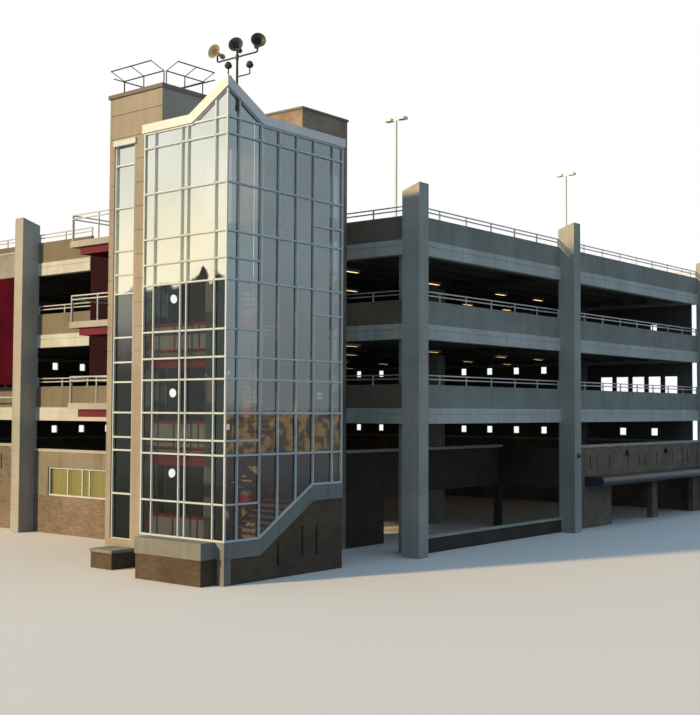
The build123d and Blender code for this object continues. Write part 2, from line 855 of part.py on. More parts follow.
save("stair_treads", *treads)


def stair_guard(x0, x1, y, floor):
    """A guard in three fields on a half landing: posts, a deep top bar and a low bar."""
    bar = stair_guard_bar
    top = floor + stair_guard_height
    guard = block(x0, x1, y, y + bar, top - 2 * bar, top)
    guard += block(x0, x1, y, y + bar, floor + bar, floor + 2 * bar)
    for n in range(stair_guard_spans + 1):
        x = x0 + n * (x1 - x0 - bar) / stair_guard_spans
        guard += block(x, x + bar, y, y + bar, floor, top)
    return guard


beams_and_guards = []
for z in half_levels:
    beams_and_guards.append(stair_guard(half_left, inner_right - stair_guard_bar, inner_front, z))
for z in half_levels[1:]:
    low = z - landing_slab - edge_beam_depth
    for y in (inner_front, half_landing_edge - edge_beam_width):
        beams_and_guards.append(block(half_left, inner_right, y, y + edge_beam_width, low, z - landing_slab))
for z in main_levels:
    low = z - landing_slab - edge_beam_depth
    beam_end = main_landing_edge + edge_beam_width
    side_beam = -tower_width + edge_beam_width
    beams_and_guards.append(block(-tower_width, inner_right, main_landing_edge, beam_end, low,
                                  z - landing_slab))
    beams_and_guards.append(block(-tower_width, side_beam, beam_end + beam_joint, inner_rear, low,
                                  z - landing_slab))
save("stair_steel", *stringers, *beams_and_guards)


# Lift shaft, its strip window and coping

shaft_left = shaft_right - shaft_width
shaft_back = shaft_front + shaft_depth
shaft = block(shaft_left, shaft_right, shaft_front, shaft_back, 0, shaft_top)
shaft -= block(shaft_left + shaft_wall, shaft_right - shaft_wall, shaft_front + shaft_wall,
               shaft_back - shaft_wall, -1, shaft_top + 1)
shaft -= block(strip_left, strip_right, shaft_front - 1, shaft_front + shaft_wall + 1, strip_bottom,
               strip_top)
groove_back = shaft_front + panel_groove
z = panel_first
while z > bench_top:
    shaft -= block(shaft_left - 1, shaft_right + 1, shaft_front - 1, groove_back, z, z + panel_groove)
    z -= panel_height
save("lift_shaft", shaft)
strip_near = shaft_front + strip_frame_set
strip_far = strip_near + strip_frame_depth
strip = block(strip_left, strip_right, strip_near, strip_far, strip_bottom, strip_top)
strip_levels = (strip_bottom, *transoms, strip_top)
for z0, z1 in zip(strip_levels, strip_levels[1:]):
    strip -= block(strip_left + frame_bar, strip_right - frame_bar, strip_near - 1, strip_far + 1,
                   z0 + half_bar, z1 - half_bar)
save("window_frames", strip, office_frame)
strip_glass = block(strip_left, strip_right, strip_far, strip_far + glass_thickness, strip_bottom, strip_top)
save("window_glass", strip_glass, office_glass)


# Brick core behind the tower

core = block(notch_x, core_right, core_front, corner_plane, 0, core_top)
core -= block(notch_x + core_wall, core_right - core_wall, core_front + core_wall, corner_plane - core_wall,
              -1, core_top + 1)
save("brick_core", core)


def lid(x0, x1, y0, y1, out, z0, z1):
    """A coping slab that stands out from the walls it covers."""
    return block(x0 - out, x1 + out, y0 - out, y1 + out, z0, z1)


shaft_lid = lid(shaft_left, shaft_right, shaft_front, shaft_back, coping_out, shaft_top,
                shaft_top + coping_cap)
core_lid = lid(notch_x, core_right, core_front, corner_plane, core_coping_out, core_top,
               core_top + core_coping)
save("shaft_lids", shaft_lid, core_lid)


# Landings between the lift, the stair and the decks

landing_slabs = []
channels = []
guards = []
corner_column = columns[2]
for floor in main_levels:
    low = floor - landing_thickness
    slab = block(notch_x, -tower_width, shaft_back, core_front, low, floor)
    if floor != level_1:
        slab += block(landing_left, notch_x, shaft_back, front_plane, low, floor)
        left = landing_left + channel_inset
        front = shaft_back + channel_set_back
        channel = block(left, shaft_left, front, front + channel_width, low - channel_height, low)
        channel += block(left, left + channel_width, front, front_plane, low - channel_height, low)
        channels.append(channel)
        corner = Pos(landing_left + guard_inset, shaft_back + guard_inset, floor)
        guards.append(corner * rail_run(shaft_left - landing_left - 2 * guard_inset, guard_height))
        side = corner * Rot(0, 0, 90) * Pos(rail_bar, 0, 0)
        guards.append(side * rail_run(front_plane - shaft_back - 3 * guard_inset, guard_height))
    landing_slabs.append(slab - corner_column)
save("landing_slabs", *landing_slabs)
save("landing_channels", *channels)
save("landing_guards", *guards)


# Upright panel, banner and rods

panel_near = front_plane + band_proud
save("upright_panel", block(panel_left, panel_left + panel_width, panel_near, panel_near + panel_thickness,
                            panel_bottom, panel_top))
banner_right = front_pier_x - half_pier - banner_gap
banner_y = front_plane - pier_reach + banner_set_back
save("banner", block(banner_right - banner_width, banner_right, banner_y, banner_y + banner_thickness,
                     banner_top - banner_drop, banner_top))
rods = []
for z in (banner_top + rod_radius, low_rod):
    middle = Pos(banner_right - banner_width / 2 + banner_gap / 2, banner_y + banner_thickness / 2, z)
    rods.append(middle * Rot(0, 90, 0) * Cylinder(rod_radius, banner_width + banner_gap))
save("banner_rods", *rods)


# Roof: light poles, guard frames on the shaft, mast

def roof_light(x, y):
    """A pole with a short arm and a flat head at each end of it."""
    arm = light_arm_side / 2
    middle = (roof_level + light_pole_top) / 2
    light = Pos(x, y, middle) * Cylinder(light_pole_radius, light_pole_top - roof_level)
    light += block(x - light_arm, x + light_arm, y - arm, y + arm, light_pole_top - light_arm_side,
                   light_pole_top)
    for end in (x - light_arm, x + light_arm):
        light += Pos(end, y, light_pole_top) * Box(light_head_length, light_head_width, light_head_height)
    return light


save("roof_lights", *[roof_light(x, y) for x, y in light_poles])


def rod(start, end, radius):
    """A round bar between two points."""
    a = Vector(*start)
    b = Vector(*end)
    return Plane(origin=(a + b) / 2, z_dir=b - a) * Cylinder(radius, (b - a).length)


guard_foot = shaft_top + coping_cap
guard_low = guard_foot + guard_rise
guard_high = guard_low + guard_lift
guard_x0 = shaft_left + guard_left_inset
guard_x1 = shaft_right - guard_inset_far
guard_y0 = shaft_front + guard_front_inset
guard_y1 = shaft_back - guard_inset_far


def guard_frame(a, b, out):
    """A frame that leans out: an inner bar on posts, an outer bar, two ends and a middle."""
    (ax, ay), (bx, by) = a, b
    ox, oy = out
    middle = ((ax + bx) / 2, (ay + by) / 2)
    thin = guard_tube / 3
    bars = rod((ax, ay, guard_low), (bx, by, guard_low), guard_tube / 2)
    bars += rod((ax + ox, ay + oy, guard_high), (bx + ox, by + oy, guard_high), guard_tube / 2)
    for x, y in (a, middle, b):
        bars += rod((x, y, guard_low), (x + ox, y + oy, guard_high), thin)
        bars += block(x - thin, x + thin, y - thin, y + thin, guard_foot, guard_low)
    return bars


step = guard_corner_gap
save("shaft_guards",
     guard_frame((guard_x0 + step, guard_y0), (guard_x1 - step, guard_y0), (0, -guard_lean)),
     guard_frame((guard_x0 + step, guard_y1), (guard_x1 - step, guard_y1), (0, guard_lean)),
     guard_frame((guard_x0, guard_y0 + step), (guard_x0, guard_y1 - step), (-guard_lean, 0)),
     guard_frame((guard_x1, guard_y0 + step), (guard_x1, guard_y1 - step), (guard_lean, 0)))


def horn(place, heading):
    """A bell with a driver behind it, facing along a heading in plan."""
    skin = horn_skin
    profile = Polyline([
        (0, 0), (horn_throat + skin, 0), (horn_waist, horn_waist_rise), (horn_mouth, horn_depth),
        (horn_mouth - skin, horn_depth), (horn_waist - skin, horn_waist_rise), (horn_throat, skin), (0, skin),
    ], close=True)
    bell = revolve(Plane.XZ * make_face(profile), Axis.Z)
    bell += Pos(0, 0, -horn_throat) * Cylinder(horn_driver, horn_throat * 2)
    return Pos(*place) * Rot(0, 0, heading) * Rot(0, 90 - horn_tilt, 0) * Pos(0, 0, -horn_depth / 2) * bell


mast_top = cap_top + mast_rise
arm_z = cap_top + arm_rise
left_x = mast_x - arm_reach
right_x = mast_x + arm_reach
pole = Pos(mast_x, mast_y, (cap_top + mast_top) / 2) * Cylinder(mast_radius, mast_top - cap_top)
mast = (pole - tower_cap - tower_roof).solids().sort_by(Axis.Z)[-1]
mast += rod((left_x - arm_radius, mast_y, arm_z), (right_x + arm_radius, mast_y, arm_z), arm_radius)
spots = ((left_x, arm_z + arm_end), (mast_x, mast_top), (right_x, arm_z + arm_end))
for (x, z), heading in zip(spots, horn_headings):
    if x != mast_x:
        mast += rod((x, mast_y, arm_z), (x, mast_y, z), arm_radius * 0.8)
    mast += horn((x, mast_y, z + horn_stand), heading)
dome_z = cap_top + dome_rise
dome_x = mast_x + dome_reach
stem_foot = dome_z - dome_radius - dome_stem
mast += rod((mast_x, mast_y, stem_foot), (dome_x + dome_stem_radius, mast_y, stem_foot), dome_stem_radius)
mast += rod((dome_x, mast_y, stem_foot), (dome_x, mast_y, dome_z), dome_stem_radius * 0.8)
mast += Pos(dome_x, mast_y, dome_z) * Sphere(dome_radius)
peak_dome_z = cap_peak + peak_dome_rise
peak_lamp = rod((0, 0, cap_peak), (0, 0, peak_dome_z), dome_stem_radius)
peak_lamp += Pos(0, 0, peak_dome_z) * Sphere(dome_radius)
save("lamp_mast", mast, peak_lamp)
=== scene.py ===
import math

import bmesh
import bpy
from mathutils import Matrix, Vector


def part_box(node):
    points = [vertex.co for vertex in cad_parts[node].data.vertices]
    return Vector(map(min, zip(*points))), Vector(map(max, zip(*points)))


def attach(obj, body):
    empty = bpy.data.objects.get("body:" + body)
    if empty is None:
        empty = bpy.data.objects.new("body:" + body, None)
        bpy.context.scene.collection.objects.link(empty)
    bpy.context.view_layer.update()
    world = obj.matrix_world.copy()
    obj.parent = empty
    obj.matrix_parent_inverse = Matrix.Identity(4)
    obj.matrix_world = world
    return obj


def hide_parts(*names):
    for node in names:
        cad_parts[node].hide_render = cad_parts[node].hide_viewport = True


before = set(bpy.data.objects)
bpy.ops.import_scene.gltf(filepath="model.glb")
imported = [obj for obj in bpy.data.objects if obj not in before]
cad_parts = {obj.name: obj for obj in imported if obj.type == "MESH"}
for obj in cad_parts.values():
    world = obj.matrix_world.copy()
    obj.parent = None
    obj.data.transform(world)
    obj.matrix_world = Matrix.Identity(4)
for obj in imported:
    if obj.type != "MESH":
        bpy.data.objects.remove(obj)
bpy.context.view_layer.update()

# The camera stands off the building's near corner, about 5.5 m up, and looks at the glazed stair
# tower. Its lens and its place are the ones that fit the building's edges.

focal_pixels = 1157.724
sensor_width = 36
picture_width = 700
camera_place = (25.998, -25.578, 5.453)
heading, tilt, roll = 39.336, 92.614, 0.238
eye = bpy.data.cameras.new("camera")
eye.sensor_fit = "HORIZONTAL"
eye.lens = focal_pixels * sensor_width / picture_width
eye.clip_end = 500
camera = bpy.data.objects.new("camera", eye)
bpy.context.collection.objects.link(camera)
camera.matrix_world = (
    Matrix.Translation(camera_place)
    @ Matrix.Rotation(math.radians(heading), 4, "Z")
    @ Matrix.Rotation(math.radians(tilt), 4, "X")
    @ Matrix.Rotation(math.radians(roll), 4, "Z")
)
bpy.context.scene.camera = camera
bpy.context.scene.view_settings.view_transform = "Standard"

# The light is a low, warm sun from the front left with a plain cool fill. What the camera sees
# behind the object, straight or in metal and glass, is a plain white background.

sun_side = Vector((-0.35, -0.875, 0.334))
sun = bpy.data.lights.new("sun", "SUN")
sun.energy = 3.9
sun.color = (1.0, 0.69, 0.33)
sun.angle = math.radians(4)
sun_lamp = bpy.data.objects.new("sun", sun)
sun_lamp.rotation_euler = sun_side.to_track_quat("Z", "Y").to_euler()
bpy.context.collection.objects.link(sun_lamp)

backdrop = bpy.data.worlds.new("backdrop")
backdrop.use_nodes = True
bpy.context.scene.world = backdrop


def add(material, kind, inputs=None, **settings):
    """A shader node with its settings, and its inputs set to values or joined to sockets."""
    node = material.node_tree.nodes.new(kind)
    for key, value in settings.items():
        setattr(node, key, value)
    for key, value in (inputs or {}).items():
        if isinstance(value, bpy.types.NodeSocket):
            material.node_tree.links.new(value, node.inputs[key])
        else:
            node.inputs[key].default_value = value
    return node


def spread(material, value, low, high, start=0.0, end=1.0):
    """A value between low and high, spread from start to end with soft ends."""
    node = add(material, "ShaderNodeMapRange", {0: value, 1: low, 2: high, 3: start, 4: end},
               interpolation_type="SMOOTHSTEP")
    return node.outputs[0]


def mixed(material, factor, a, b, kind="MIX"):
    """Two colours, mixed by a factor."""
    a, b = [(*c, 1) if isinstance(c, tuple) and len(c) == 3 else c for c in (a, b)]
    node = add(material, "ShaderNodeMix", {0: factor, 6: a, 7: b}, data_type="RGBA", blend_type=kind)
    return node.outputs[2]


def maths(material, kind, a, b=0.0):
    """One sum on two values."""
    return add(material, "ShaderNodeMath", {0: a, 1: b}, operation=kind).outputs[0]


def shown(material):
    """1 for the rays that show a background: to the camera, in a mirror or through glass."""
    rays = add(material, "ShaderNodeLightPath").outputs
    behind = maths(material, "MAXIMUM", rays["Is Glossy Ray"], rays["Is Transmission Ray"])
    return maths(material, "MAXIMUM", rays["Is Camera Ray"], behind)


fill_colour = (0.285, 0.38, 0.46)
world_shader = backdrop.node_tree.nodes["Background"]
seen_colour = mixed(backdrop, shown(backdrop), fill_colour, (1.0, 1.0, 1.0))
backdrop.node_tree.links.new(seen_colour, world_shader.inputs["Color"])

# The floor is a plain pale plane under the building. It keeps the building's shadow and fades
# into the white background far away.

floor_size = 600
floor_middle = (-14, 18, -0.01)
fade_start, fade_end = 34, 75
bpy.ops.object.select_all(action="DESELECT")
bpy.ops.mesh.primitive_plane_add(size=floor_size, location=floor_middle)
floor = bpy.context.object
floor.name = "floor"
bpy.ops.object.transform_apply(location=True, rotation=True, scale=True)
floor_paint = bpy.data.materials.new("pale_floor")
floor_paint.use_nodes = True
place = add(floor_paint, "ShaderNodeTexCoord").outputs["Object"]
away = add(floor_paint, "ShaderNodeVectorMath", {0: place, 1: (-8.0, 2.0, 0.0)}, operation="DISTANCE")
away = away.outputs["Value"]
tone = mixed(floor_paint, shown(floor_paint), (0.20, 0.21, 0.225), (0.90, 0.91, 0.93))
surface = add(floor_paint, "ShaderNodeBsdfDiffuse", {"Color": tone})
white = add(floor_paint, "ShaderNodeEmission", {"Color": (1, 1, 1, 1), "Strength": 1.0})
fade = maths(floor_paint, "MULTIPLY", spread(floor_paint, away, fade_start, fade_end), shown(floor_paint))
both = add(floor_paint, "ShaderNodeMixShader", {0: fade, 1: surface.outputs[0], 2: white.outputs[0]})
floor_paint.node_tree.links.new(both.outputs[0], floor_paint.node_tree.nodes["Material Output"].inputs[0])
floor.data.materials.append(floor_paint)

# Piers and inner columns are cast in place against boards. They are greyer than the spandrels, with
# air holes and faint lift lines.


def new_material(name, roughness=0.8, metallic=0.0, gloss=0.2):
    """A material with its plain shader. Rough and dusty faces have little gloss."""
    material = bpy.data.materials.new(name)
    material.use_nodes = True
    shader = material.node_tree.nodes["Principled BSDF"]
    shader.inputs["Roughness"].default_value = roughness
    shader.inputs["Metallic"].default_value = metallic
    shader.inputs["Specular IOR Level"].default_value = gloss
    return material


def shader_of(material):
    """The plain shader of a material."""
    return material.node_tree.nodes["Principled BSDF"]


def join(material, value, socket):
    """Joins a value to a socket of the plain shader."""
    material.node_tree.links.new(value, shader_of(material).inputs[socket])


def noise(material, scale, stretch=(1, 1, 1), detail=3.0, low=0.35, high=0.65):
    """A noise in Object coordinates, spread over 0 to 1."""
    where = add(material, "ShaderNodeTexCoord").outputs["Object"]
    where = add(material, "ShaderNodeMapping", {"Vector": where, "Scale": stretch}).outputs[0]
    pattern = add(material, "ShaderNodeTexNoise", {"Vector": where, "Scale": scale, "Detail": detail})
    return spread(material, pattern.outputs["Fac"], low, high)


def bump(material, value, depth):
    """Relief of a depth in metres on the shader's normal."""
    relief = add(material, "ShaderNodeBump", {"Height": value, "Distance": depth, "Strength": 1.0})
    join(material, relief.outputs["Normal"], "Normal")


def scaled(colour, factor):
    """A colour made darker or brighter."""
    return tuple(min(1.0, channel * factor) for channel in colour)


def weathered(material, colour, mottle=0.10, streak=0.22, grain=45.0, scale=0.5):
    """Colour of a mineral surface: broad clouds, streaks that run down, and a fine grain."""
    broad = noise(material, scale, detail=5.0)
    clouds = mixed(material, broad, scaled(colour, 1 - mottle), scaled(colour, 1 + mottle))
    down = mixed(material, noise(material, 1.6, (2.2, 2.2, 0.12), detail=4.0, low=0.45, high=0.75),
                 (1.0, 1.0, 1.0), (1 - streak, 1 - streak, 1 - streak))
    fine = mixed(material, noise(material, grain, detail=2.0), (0.93, 0.93, 0.93), (1.05, 1.05, 1.05))
    stained = mixed(material, 1.0, clouds, down, "MULTIPLY")
    return mixed(material, 1.0, stained, fine, "MULTIPLY")


def place_of(material):
    """The three Object coordinates of a point."""
    where = add(material, "ShaderNodeTexCoord").outputs["Object"]
    return add(material, "ShaderNodeSeparateXYZ", {0: where}).outputs


def dress(material, *nodes):
    """Gives CAD nodes their material."""
    for name in nodes:
        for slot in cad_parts[name].material_slots:
            slot.material = material


lift_height = 1.22
cast = new_material("cast_concrete", 0.85)
x, y, z = place_of(cast)
lift = spread(cast, maths(cast, "PINGPONG", z, lift_height), 0.0, 0.02, 1.0, 0.0)
pits = spread(cast, noise(cast, 16.0, detail=1.0, low=0.68, high=0.74), 0.0, 1.0)
colour = weathered(cast, (0.44, 0.455, 0.43), mottle=0.10, streak=0.14)
colour = mixed(cast, maths(cast, "MULTIPLY", lift, 0.35), colour, (0.28, 0.28, 0.26))
colour = mixed(cast, maths(cast, "MULTIPLY", pits, 0.5), colour, (0.24, 0.24, 0.22))
join(cast, colour, "Base Color")
rough = maths(cast, "MULTIPLY", noise(cast, 25.0), 0.3)
bump(cast, maths(cast, "SUBTRACT", rough, maths(cast, "ADD", lift, pits)), 0.004)
dress(cast, "piers", "inner_columns")

# Decks are precast slabs on stems, set on beams. Their undersides are painted dark as shade, while their
# tops are worn pale concrete with fine joints and darker wheel ways.

deck_concrete = new_material("deck_concrete", 0.9)
# The undersides' near black colour is painted shade, for the dark under the decks.
painted_shade_soffit = weathered(deck_concrete, (0.125, 0.128, 0.126), mottle=0.15, streak=0.0)
worn = weathered(deck_concrete, (0.27, 0.27, 0.255), mottle=0.07, streak=0.0, scale=1.6)
x, y, z = place_of(deck_concrete)
joint_pitch = 1.52
aisle_half = 3.9
slab_joint = spread(deck_concrete, maths(deck_concrete, "PINGPONG", x, joint_pitch), 0.0, 0.02, 1.0, 0.0)
wheel_way = spread(deck_concrete, maths(deck_concrete, "PINGPONG", y, aisle_half), 1.2, 2.6)
patchy = noise(deck_concrete, 0.6, (0.3, 1.5, 1.0), detail=4.0)
wheel_way = maths(deck_concrete, "MULTIPLY", wheel_way, patchy)
worn = mixed(deck_concrete, maths(deck_concrete, "MULTIPLY", wheel_way, 0.35), worn, (0.15, 0.15, 0.145))
worn = mixed(deck_concrete, maths(deck_concrete, "MULTIPLY", slab_joint, 0.6), worn, (0.12, 0.12, 0.115))
normal = add(deck_concrete, "ShaderNodeNewGeometry").outputs["True Normal"]
upward = add(deck_concrete, "ShaderNodeSeparateXYZ", {0: normal}).outputs["Z"]
facing_up = spread(deck_concrete, upward, 0.4, 0.6)
join(deck_concrete, mixed(deck_concrete, facing_up, painted_shade_soffit, worn), "Base Color")
bump(deck_concrete, noise(deck_concrete, 18.0), 0.004)
dress(deck_concrete, "deck_2", "deck_3", "deck_roof", "middle_beams")

# Spandrels are precast concrete beams that close the edge of each deck. Their upper face is cast
# with narrow upright ribs, over a smooth band, and rain has stained them from the top down.

storey_height = 3.25
ribs_foot, ribs_head = 2.285, 3.195
rib_pitch = 0.03
rib_depth = 0.004
ribbed = new_material("ribbed_concrete", 0.88)
x, y, z = place_of(ribbed)
storey = maths(ribbed, "MODULO", z, storey_height)
over_foot = maths(ribbed, "GREATER_THAN", storey, ribs_foot)
upper = maths(ribbed, "MULTIPLY", over_foot, maths(ribbed, "LESS_THAN", storey, ribs_head))
along = maths(ribbed, "PINGPONG", maths(ribbed, "ADD", x, y), rib_pitch)
valley = maths(ribbed, "MULTIPLY", spread(ribbed, along, 0.017, 0.013), upper)
plain = weathered(ribbed, (0.60, 0.65, 0.63), mottle=0.09, streak=0.14)
# The ribbed upper part is made darker than the band below it.
upper_darkening = mixed(ribbed, upper, (1.0, 1.0, 1.0), (0.57, 0.565, 0.555))
# Front faces of the ribbed part are painted darker and browner: painted shade for the shadows the ribs cast
# in the low sun.
normal = add(ribbed, "ShaderNodeNewGeometry").outputs["True Normal"]
turned = add(ribbed, "ShaderNodeSeparateXYZ", {0: normal}).outputs["Y"]
front_side = spread(ribbed, turned, -0.4, -0.6)
painted_rib_shade = mixed(ribbed, maths(ribbed, "MULTIPLY", front_side, upper), (1.0, 1.0, 1.0), (0.68, 0.58, 0.47))
tinted = mixed(ribbed, 1.0, mixed(ribbed, 1.0, plain, upper_darkening, "MULTIPLY"), painted_rib_shade, "MULTIPLY")
shaded = mixed(ribbed, valley, (1.0, 1.0, 1.0), (0.93, 0.93, 0.93))
drip = spread(ribbed, storey, 2.75, 3.2)
drip = maths(ribbed, "MULTIPLY", drip, noise(ribbed, 1.1, (3.0, 3.0, 0.1), low=0.42, high=0.70))
rain = mixed(ribbed, maths(ribbed, "MULTIPLY", drip, 0.28), (1.0, 1.0, 1.0), (0.60, 0.60, 0.59))
whole = mixed(ribbed, 1.0, mixed(ribbed, 1.0, tinted, shaded, "MULTIPLY"), rain, "MULTIPLY")
join(ribbed, whole, "Base Color")
grain = maths(ribbed, "MULTIPLY", noise(ribbed, 30.0), 0.10)
relief = maths(ribbed, "ADD", maths(ribbed, "MULTIPLY", valley, -1.0), grain)
bump(ribbed, relief, rib_depth)
dress(ribbed, "front_spandrels", "right_spandrels", "left_spandrels", "rear_spandrels")

# Lamps are fixed under every deck between the stems. Each is a pressed metal tray with a diffuser
# that glows warm.


def box_piece(name, low, high, ease=0.0, segments=1):
    """A cube primitive at its size and place, with its edges eased in edit mode."""
    bpy.ops.object.select_all(action="DESELECT")
    middle = [(a + b) / 2 for a, b in zip(low, high)]
    size = [b - a for a, b in zip(low, high)]
    bpy.ops.mesh.primitive_cube_add(size=1, location=middle, scale=size)
    bpy.ops.object.transform_apply(location=True, rotation=True, scale=True)
    piece = bpy.context.object
    piece.name = name
    bpy.ops.object.mode_set(mode="EDIT")
    bpy.ops.mesh.select_all(action="SELECT")
    if ease:
        bpy.ops.mesh.bevel(offset=ease, segments=segments, affect="EDGES")
    return piece


def pick(piece, test):
    """Selects the faces of a piece in edit mode whose middle and normal pass a test."""
    bpy.ops.mesh.select_mode(type="FACE")
    bpy.ops.mesh.select_all(action="DESELECT")
    shape = bmesh.from_edit_mesh(piece.data)
    for face in shape.faces:
        face.select_set(bool(test(face.calc_center_median(), face.normal)))
    bmesh.update_edit_mesh(piece.data)


def done(piece, material, second=None):
    """Closes edit mode, and gives the piece its materials and its body."""
    bpy.ops.object.mode_set(mode="OBJECT")
    piece.data.materials.append(material)
    if second:
        piece.data.materials.append(second)
    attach(piece, "root")
    return piece


def repeated(piece, name, places):
    """Copies of a piece, each moved to its place with its own mesh, as one object."""
    copies = []
    for place in places:
        copy = piece.copy()
        copy.data = piece.data.copy()
        bpy.context.collection.objects.link(copy)
        copy.data.transform(place if isinstance(place, Matrix) else Matrix.Translation(place))
        copies.append(copy)
    bpy.data.objects.remove(piece, do_unlink=True)
    bpy.ops.object.select_all(action="DESELECT")
    for copy in copies:
        copy.select_set(True)
    bpy.context.view_layer.objects.active = copies[0]
    if len(copies) > 1:
        bpy.ops.object.join()
    copies[0].name = name
    return copies[0]


def glowing(name, colour, strength):
    """A diffuser that glows, its colour varied a little by a noise."""
    material = new_material(name, 0.4)
    shader = shader_of(material)
    shader.inputs["Emission Strength"].default_value = strength
    grain = mixed(material, noise(material, 9.0), scaled(colour, 0.85), colour)
    join(material, grain, "Base Color")
    join(material, grain, "Emission Color")
    return material


tray_metal = new_material("lamp_tray", 0.5, 0.6)
join(tray_metal, weathered(tray_metal, (0.30, 0.30, 0.29), grain=80.0), "Base Color")
warm_glow = glowing("warm_diffuser", (1.0, 0.62, 0.25), 2.5)
tray_width, tray_length, tray_depth = 0.26, 1.0, 0.10
tray_low = (-tray_width / 2, -tray_length / 2, -tray_depth)
tray = box_piece("deck_lamps", tray_low, (tray_width / 2, tray_length / 2, 0.0), 0.015, 2)
pick(tray, lambda middle, normal: normal.z < -0.9)
bpy.ops.mesh.inset(thickness=0.03, depth=0.01)
lamp = done(tray, tray_metal, warm_glow)
lamp.data.polygons.foreach_set("material_index", [0] * len(lamp.data.polygons))
for face in lamp.data.polygons:
    if face.normal.z < -0.9 and face.area > 0.1:
        face.material_index = 1
lamp_rows = [(x, y) for x in (-5.88, -10.965, -17.045, -23.125) for y in (13.4, 19.6)]
lamp_rows += [(x, y) for x in (-5.995, -10.555, -16.635, -22.715) for y in (25.8, 29.6, 33.8)]
deck_levels = (12.2, 8.95, 5.7)
stem_foot = 0.60
lamp_places = [(x, y, level - stem_foot) for level in deck_levels for x, y in lamp_rows]
lamp = repeated(lamp, "deck_lamps", lamp_places)

# Parapet rails and landing guards are galvanised steel bars on posts. The rails' posts stand on the
# spandrel tops, each on a small bolted plate.

galvanised = new_material("galvanised_steel", 0.5, 0.2)
spangled = weathered(galvanised, (0.50, 0.53, 0.55), mottle=0.12, streak=0.08, grain=60.0)
join(galvanised, spangled, "Base Color")
bump(galvanised, noise(galvanised, 60.0), 0.001)
dress(galvanised, "parapet_rails", "banner_rods", "landing_guards")


def joined(name, parts, material):
    """Parts in object mode, made one piece with its material, slot and body."""
    bpy.ops.object.select_all(action="DESELECT")
    for part in parts:
        part.select_set(True)
    bpy.context.view_layer.objects.active = parts[0]
    if len(parts) > 1:
        bpy.ops.object.join()
    whole = parts[0]
    whole.name = name
    whole.data.materials.clear()
    whole.data.materials.append(material)
    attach(whole, "root")
    return whole


def closed(piece):
    """Ends edit mode on a piece that goes on as a part of another."""
    bpy.ops.object.mode_set(mode="OBJECT")
    return piece


def bars(name, spans, ease, material):
    """Straight eased bars between pairs of corners, as one piece."""
    return joined(name, [closed(box_piece(name, low, high, ease)) for low, high in spans], material)


spandrel_tops = (6.45, 9.70, 12.95)
plate_thickness = 0.012
plate_half = 0.05
same_level = 0.001
same_post = 0.07
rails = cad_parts["parapet_rails"]
feet = []
for vertex in rails.data.vertices:
    corner = rails.matrix_world @ vertex.co
    if min(abs(corner.z - top) for top in spandrel_tops) > same_level:
        continue
    for foot in feet:
        if (foot[0] - corner).length < same_post:
            foot.append(corner)
            break
    else:
        feet.append([corner])
posts = []
for foot in feet:
    low = [min(corner[n] for corner in foot) for n in range(3)]
    high = [max(corner[n] for corner in foot) for n in range(3)]
    posts.append([(a + b) / 2 for a, b in zip(low, high)])
plate_spans = []
for x, y, z in posts:
    plate_high = (x + plate_half, y + plate_half, z + plate_thickness)
    plate_spans.append(((x - plate_half, y - plate_half, z), plate_high))
bars("rail_plates", plate_spans, 0.003, galvanised)

# The far sides are closed between the parapets by thin dark concrete screens with rows of square
# holes, cast as panels and fixed to the deck edges.

screen_concrete = new_material("screen_concrete", 0.85)
join(screen_concrete, weathered(screen_concrete, (0.14, 0.14, 0.13), mottle=0.15, streak=0.2), "Base Color")
bump(screen_concrete, noise(screen_concrete, 24.0), 0.003)
dress(screen_concrete, "far_screens")

# Brick walls close the ground storey between the piers, with narrow slots near their top. The
# bricks are 225 mm long with 75 mm courses, laid half over half.


def bricks(name, face, dark, joint):
    """Brickwork in Object coordinates: its length runs along x + y, its courses up z."""
    material = new_material(name, 0.88)
    x, y, z = place_of(material)
    flat = add(material, "ShaderNodeCombineXYZ", {"X": maths(material, "ADD", x, y), "Y": z}).outputs[0]
    wall = add(material, "ShaderNodeTexBrick", {
        "Vector": flat, "Color1": (*face, 1), "Color2": (*dark, 1), "Mortar": (*joint, 1), "Scale": 1.0,
        "Mortar Size": 0.006, "Mortar Smooth": 0.3, "Bias": -0.2, "Brick Width": 0.225, "Row Height": 0.075,
    }, offset=0.5)
    cloud = mixed(material, noise(material, 0.8, detail=4.0), (0.82, 0.82, 0.82), (1.12, 1.12, 1.12))
    join(material, mixed(material, 1.0, wall.outputs["Color"], cloud, "MULTIPLY"), "Base Color")
    rough = maths(material, "MULTIPLY", noise(material, 50.0), 0.25)
    bump(material, maths(material, "SUBTRACT", rough, wall.outputs["Fac"]), 0.005)
    return material


brown_brick = bricks("brown_brick", (0.24, 0.19, 0.15), (0.15, 0.115, 0.09), (0.30, 0.28, 0.25))
dress(brown_brick, "brick_walls", "right_brick_wall")
# The brick of the tower's base and plinths is painted darker than its own colour, as painted shade on the
# tower's foot.
shaded_base_brick = bricks("shaded_base_brick", (0.12, 0.088, 0.064), (0.08, 0.059, 0.045), (0.16, 0.143, 0.122))
dress(shaded_base_brick, "tower_brick_base", "plinths")
# The arcade walls' brick is painted near black: painted shade for the deep dark under the decks.
shaded_arcade_brick = bricks("shaded_arcade_brick", (0.06, 0.052, 0.045), (0.042, 0.036, 0.031), (0.085, 0.08, 0.072))
dress(shaded_arcade_brick, "arcade_walls")

# Copings and landing slabs are precast concrete, smoother and paler than the walls. The copings are
# bedded on the wall tops in mortar.

pale_concrete = new_material("pale_concrete", 0.8)
join(pale_concrete, weathered(pale_concrete, (0.45, 0.46, 0.44), mottle=0.08, streak=0.10), "Base Color")
bump(pale_concrete, noise(pale_concrete, 35.0), 0.002)
dress(pale_concrete, "wall_copings", "landing_slabs")

